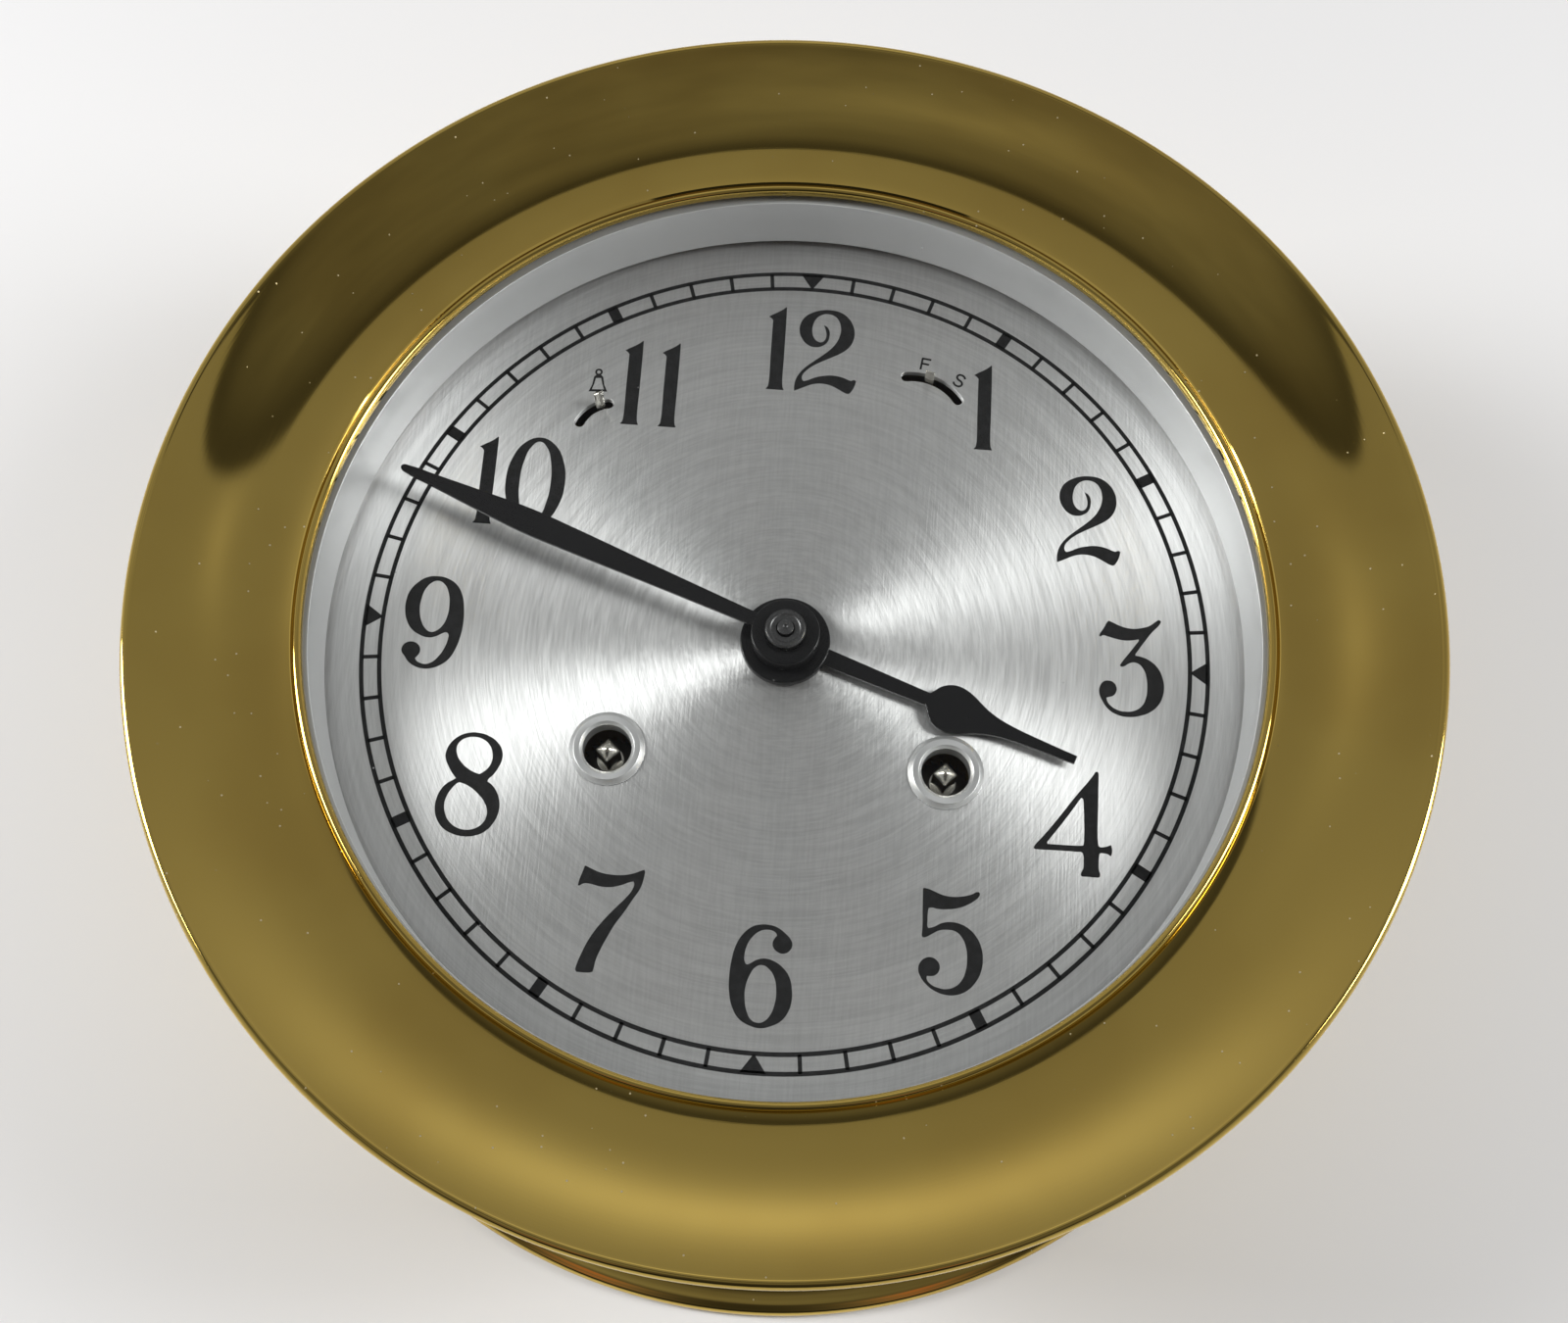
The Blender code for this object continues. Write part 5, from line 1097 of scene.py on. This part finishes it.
class DECKCLOCK_OT_winding(PieceOperator, bpy.types.Operator):
    """Make the two grommets and the winding squares in them"""

    bl_idname = "deck_clock.winding"
    bl_label = "Winding squares"

    # Along a square, in millimetres below its end: half its width, and how round it is.
    SQUARE = ((7.0, 1.5, 0.0), (1.5, 1.5, 0.0), (1.3, 1.455, 0.1), (0.95, 1.29, 0.4), (0.55, 0.99, 0.75),
              (0.22, 0.6, 1.0), (0.03, 0.15, 1.0))
    SHANK, PIVOT, PIVOT_LENGTH = 2.2, 0.6, 2.6
    SIDES = 32

    def section(self, edit, place, height, half_width, roundness):
        """A ring of points of a square with blunt corners, blended into a circle."""
        ring = []
        for k in range(self.SIDES):
            angle = 2 * math.pi * (k + 0.5) / self.SIDES
            square = min(1 / max(abs(math.cos(angle)), abs(math.sin(angle))), 1.34)
            radius = half_width * MM * (roundness + (1 - roundness) * square)
            ring.append(edit.verts.new((*polar(radius, math.degrees(angle) + 45, place), height)))
        return ring

    def make(self):
        size = sizes()
        for name, sign in (("time", 1), ("strike", -1)):
            place = (sign * size.winding_x, -size.winding_y)
            node = f"winding_grommet_{name}"
            high, low = top(node), bottom(node)
            flange = high - 0.8 * MM
            bore, barrel, outer = 3.95 * MM, 4.9 * MM, 6.15 * MM
            section = softened([
                (bore, high - 0.5 * MM), (bore + 0.5 * MM, high), (outer - 0.75 * MM, high),
                (outer, flange + 0.1 * MM), (outer, flange - 0.2 * MM, 0), (barrel, flange - 0.2 * MM, 0),
                (barrel, low), (bore, low)], 0.12 * MM)
            grommet = turned(f"grommet_{name}", section, "turned_aluminium", 96, place)
            fit(grommet, "case", "silvered_dial", node)

            arbor = f"{name}_winding_arbor"
            low, high = bottom(arbor), top(arbor)
            shoulder = high - self.SQUARE[0][0] * MM
            edit = bmesh.new()
            rings = [self.section(edit, place, z, self.SHANK, 1.0) for z in (low + 2.0 * MM, shoulder)]
            rings += [self.section(edit, place, high - down * MM, *shape) for down, *shape in self.SQUARE]
            for lower, upper in zip(rings, rings[1:]):
                for k in range(self.SIDES):
                    after = (k + 1) % self.SIDES
                    edit.faces.new((lower[k], lower[after], upper[after], upper[k]))
            edit.faces.new(rings[0][::-1])
            edit.faces.new(rings[-1])
            pivot, depth = self.PIVOT * MM, self.PIVOT_LENGTH * MM
            bmesh.ops.create_cone(
                edit, cap_ends=True, segments=24, radius1=pivot, radius2=pivot, depth=depth,
                matrix=Matrix.Translation((*place, low + depth / 2)))
            mesh = mesh_of(edit, f"winding_square_{name}")
            mesh.materials.append(finish("steel"))
            square = tidy(placed(mesh.name, mesh), smooth=28)
            fit(square, f"{name}_winder", "steel", arbor)


class DECKCLOCK_OT_hands(PieceOperator, bpy.types.Operator):
    """Make the hour hand, the minute hand and the knurled nut that holds them"""

    bl_idname = "deck_clock.hands"
    bl_label = "Hands"

    # Along each hand, in millimetres: distance from the centre and half width. A third number marks
    # a corner.
    HOUR_ROWS = ((5.5, 1.5, 1), (25.2, 1.1, 1), (25.7, 1.75), (26.5, 2.85), (27.7, 3.68), (29.1, 4.05),
                 (30.6, 3.92), (32.2, 3.4), (33.8, 2.65), (35.4, 2.0), (37.4, 1.48), (40.0, 1.12),
                 (45.0, 0.86), (50.9, 0.68, 1))
    MINUTE_ROWS = ((4.0, 1.1, 1), (25.0, 1.65), (40.0, 2.1), (47.0, 2.2), (55.0, 1.75), (65.0, 1.0),
                   (69.2, 0.68), (70.45, 0.3))
    THICKNESS = 0.8 * MM

    def make(self):
        size = sizes()
        dial = size.dial_top
        # Heights above the dial, radius and bore are in millimetres.
        for name, rows, angle, body, low, (foot, head), radius, bore in (
            ("hour_hand", self.HOUR_ROWS, size.hour_angle, "hour_pipe", 1.5, (0.6, 2.4), 7.4, 3.7),
            ("minute_hand", self.MINUTE_ROWS, size.minute_angle, "minute_arbor", 5.4, (3.0, 6.3), 5.6,
             2.5)):
            side = [(x, -half, *more) for x, half, *more in rows]
            other_side = [(x, half, *more) for x, half, *more in reversed(rows)]
            outline = scaled([*side, *other_side], 0, 0)
            blade = flat_piece(name + "_blade", [outline], dial + low * MM, self.THICKNESS, "black_paint",
                               0.14 * MM, math.pi / 2 - angle)
            low, high = dial + foot * MM, dial + head * MM
            inner, outer = bore * MM, radius * MM
            section = softened([(inner, high), (outer, high), (outer, low), (inner, low)], 0.3 * MM, 5)
            collar = turned(name + "_boss", section, "black_paint", 96)
            fit(joined(name + "_whole", [blade, collar]), body, "black_paint", name)

        low, high = bottom("hand_nut"), top("hand_nut")
        radius = reach("hand_nut")
        body = turned("nut_body", softened([
            (1.5 * MM, high - 0.1 * MM), (2.3 * MM, high - 0.1 * MM), (2.5 * MM, high),
            (radius - 0.35 * MM, high), (radius - 0.12 * MM, high - 0.25 * MM), (radius - 0.12 * MM, low),
            (1.5 * MM, low)], 0.06 * MM), "blackened_steel", 96)
        knurl = grown("nut_knurl", knurl_tree, {
            "Count": 60, "Radius": radius - 0.16 * MM, "Bottom": low, "Height": high - low - 0.25 * MM,
            "Depth": 0.15 * MM, "Finish": finish("blackened_steel")})
        fit(joined("hand_nut_knurled", [body, knurl]), "minute_arbor", "black_paint", "hand_nut")
        arbor_end = top("centre_wheel")
        tip = turned("arbor_tip", softened([
            (0, arbor_end + 0.03 * MM, 0), (0.2 * MM, arbor_end + 0.06 * MM),
            (0.4 * MM, arbor_end + 0.24 * MM), (0.5 * MM, arbor_end + 0.25 * MM),
            (1.3 * MM, arbor_end + 0.16 * MM), (1.3 * MM, low), (0, low, 0)], 0.06 * MM),
            "blackened_steel", 48)
        fit(tip, "minute_arbor", "steel")


class DECKCLOCK_OT_fittings(PieceOperator, bpy.types.Operator):
    """Make the hinge, the catch spring and the two lever tabs"""

    bl_idname = "deck_clock.fittings"
    bl_label = "Hinge, catch and levers"

    def make(self):
        for name, node, body, look, edge in (
            ("fixed_leaf", "hinge_case_leaf", "case", "polished_brass", 0.2),
            ("moving_leaf", "hinge_bezel_leaf", "bezel", "polished_brass", 0.2),
            ("pin_of_hinge", "hinge_pin", "case", "steel", 0.12),
            ("catch_clip", "catch_spring", "case", "steel", 0.12),
            ("regulator_tab", "regulator_lever", "regulator", "steel", 0.08),
            ("strike_silent_tab", "strike_silent_lever", "strike_silent", "steel", 0.08)):
            piece = softened_copy(name, node, look, edge * MM)
            fit(piece, body, look, node)


class DECKCLOCK_OT_movement(PieceOperator, bpy.types.Operator):
    """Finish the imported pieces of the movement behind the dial"""

    bl_idname = "deck_clock.movement"
    bl_label = "Movement finishes"

    def make(self):
        slots = {part["node"]: part["material_slot"] for part in frame["record"]["subparts"]}
        for name, obj in frame["nodes"].items():
            if obj.hide_render:
                continue
            obj.material_slots[0].material = finish(slots[name])


def patch(across, away, sideways, backwards, width, height):
    """A soft round glow in the surroundings: 1 in its middle."""
    return 1 / (1 + ((across - sideways) / width) ** 2.0 + ((away - backwards) / height) ** 2.0) ** 2.0


class DECKCLOCK_OT_stage(PieceOperator, bpy.types.Operator):
    """Make the floor, the lamps, the surroundings and the camera"""

    bl_idname = "deck_clock.stage"
    bl_label = "Studio"

    # Each lamp: name, place in metres, power in watts and width in metres.
    LAMPS = (("left lamp", (-0.64, 0.03, 0.545), 5.0, 0.20), ("right lamp", (0.62, 0.03, 0.585), 3.9, 0.20))
    # A direction in the room is (sideways, towards twelve): 0 is overhead and 1 the horizon.
    # The dark part is half its width, half its depth, and its middle towards twelve.
    DARK_PART = (0.285, 0.443, -0.33)
    # A glow is its strength, its direction, its width and its height.
    GLOWS = ((0.47, -0.03, 0.41, 0.24, 0.105), (0.16, -0.15, 0.18, 0.085, 0.04),
             (0.13, 0.15, 0.17, 0.05, 0.03))
    # A warm spot stands on each side: its middle towards twelve, its width and its height.
    WARM_SPOT = (-0.27, 0.06, 0.07)
    HORIZON, GROUND = 0.62, 0.86

    def make(self):
        self.floor()
        self.lamps()
        self.surroundings()
        self.camera()
        bpy.context.scene.view_settings.view_transform = "Standard"

    def floor(self):
        edit = bmesh.new()
        bmesh.ops.create_circle(edit, cap_ends=True, segments=96, radius=4.0)
        mesh = mesh_of(edit, "floor")
        floor = placed("floor", mesh)
        graph, close = new_finish("paper", {"Specular IOR Level": 0.1, "Roughness": 0.9})
        tone = tuple(colours().floor)
        point, x, y = graph.place()[:3]
        shade = graph.noise(point, 3.0, 2.0)
        far = (x * x + y * y) ** 0.5
        mesh.materials.append(close(Base_Color=graph.mix(shade, tone, tuple(0.97 * c for c in tone)),
                                    Alpha=1 - far.step(0.30, 0.62)))

    def lamps(self):
        for name, spot, power, width in self.LAMPS:
            light = bpy.data.lights.new(name, "AREA")
            light.energy = power
            light.shape = "RECTANGLE"
            light.size = width
            light.size_y = width * 2.8
            lamp = placed(name, light)
            lamp.location = spot
            aim = Vector((0, 0, 0.07)) - Vector(spot)
            lamp.rotation_euler = aim.to_track_quat("-Z", "Y").to_euler()

    def surroundings(self):
        """Soft room: what polished metal mirrors overhead, and a pale ground behind the clock."""
        world = bpy.data.worlds.new("studio")
        bpy.context.scene.world = world
        world.use_nodes = True
        graph = Graph(world.node_tree)
        toward = graph.node("ShaderNodeTexCoord", out="Generated")
        x = graph.node("ShaderNodeSeparateXYZ", {}, {"Vector": toward})
        z = x.other("Z")
        up = z.maths("MAXIMUM", z, 0.0) + 1.0
        across, away = x / up, x.other("Y") / up
        leaning = away - 0.5 * across.between(0.0, 0.07)
        # The dark part has soft edges and leans a little to one side.
        half_width, half_depth, middle = self.DARK_PART
        hood = (abs(across) / half_width) ** 8.0 + (abs(leaning - middle) / half_depth) ** 8.0
        inside = 1 - hood.step(0.90, 1.05)
        folds = graph.noise(toward, 14.0, 3.0)
        # Outside it the room is bright, more so to the sides, with a few glows.
        open_part = 0.27 + 0.17 * abs(across).step(0.28, 0.50)
        for peak, *spot in self.GLOWS:
            open_part = open_part + peak * patch(across, away, *spot)
        # Inside it nearly black towards six, and a little light with soft folds overhead.
        overhead = away.step(-0.24, -0.13)
        shaded = 0.02 + overhead * (0.035 + 0.08 * (1 - hood.step(0.12, 0.80)) * (0.5 + folds))
        shaded = shaded + 0.13 * patch(across, away, -0.09, -0.055, 0.17, 0.08)
        left, right = (patch(across, away, sideways, *self.WARM_SPOT) for sideways in (-0.13, 0.13))
        warm = right + left
        shaded = shaded + 0.45 * warm
        # The whole fades to an even grey at the horizon, and the camera sees the pale ground instead.
        mirrored = open_part + (shaded - open_part) * inside
        low = z.step(0.45, 0.05)
        mirrored = mirrored + (self.HORIZON - mirrored) * low
        camera_ray = graph.node("ShaderNodeLightPath", out="Is Camera Ray")
        strength = mirrored + (self.GROUND - mirrored) * camera_ray
        tint = graph.mix(warm * (1 - camera_ray), (1.0, 1.0, 1.0), (1.0, 0.42, 0.26))
        back = world.node_tree.nodes["Background"]
        graph.tree.links.new(strength.socket, back.inputs["Strength"])
        graph.tree.links.new(tint.socket, back.inputs["Color"])

    def camera(self):
        """The photograph's viewing angle and frame."""
        lens = bpy.data.cameras.new("camera")
        lens.lens = 42.79
        lens.sensor_width = 36.0
        lens.sensor_fit = "HORIZONTAL"
        lens.clip_start = 0.01
        camera = placed("camera", lens)
        right = Vector((0.9974, 0.0715, 0.0076)).normalized()
        back = Vector((0.0172, -0.3265, 0.9450)).normalized()
        up = back.cross(right).normalized()
        right = up.cross(back)
        turn = Matrix((right, up, back)).transposed().to_4x4()
        camera.matrix_world = Matrix.Translation((0.005303, -0.103076, 0.363814)) @ turn
        bpy.context.scene.camera = camera


OPERATORS = (
    DECKCLOCK_OT_case, DECKCLOCK_OT_back, DECKCLOCK_OT_bezel, DECKCLOCK_OT_glass, DECKCLOCK_OT_dial,
    DECKCLOCK_OT_printing, DECKCLOCK_OT_winding, DECKCLOCK_OT_hands, DECKCLOCK_OT_fittings,
    DECKCLOCK_OT_movement, DECKCLOCK_OT_stage,
)


class DECKCLOCK_PT_panel(bpy.types.Panel):
    """Lists the sizes, the colours and the operators"""

    bl_label = "Deck clock"
    bl_idname = "DECKCLOCK_PT_panel"
    bl_space_type = "VIEW_3D"
    bl_region_type = "UI"
    bl_category = "Deck clock"

    def draw(self, context):
        for group in (context.scene.deck_clock_sizes, context.scene.deck_clock_colours):
            box = self.layout.box()
            for name in group.bl_rna.properties.keys():
                if name not in ("rna_type", "name"):
                    box.prop(group, name)
        for operator in OPERATORS:
            self.layout.operator(operator.bl_idname)


CLASSES = (ClockSizes, ClockColours, *OPERATORS, DECKCLOCK_PT_panel)


def register():
    for one in CLASSES:
        bpy.utils.register_class(one)
    bpy.types.Scene.deck_clock_sizes = PointerProperty(type=ClockSizes)
    bpy.types.Scene.deck_clock_colours = PointerProperty(type=ClockColours)


def unregister():
    del bpy.types.Scene.deck_clock_colours
    del bpy.types.Scene.deck_clock_sizes
    for one in reversed(CLASSES):
        bpy.utils.unregister_class(one)


def main():
    register()
    for operator in OPERATORS:
        group, name = operator.bl_idname.split(".")
        getattr(getattr(bpy.ops, group), name)()


if __name__ == "__main__":
    main()
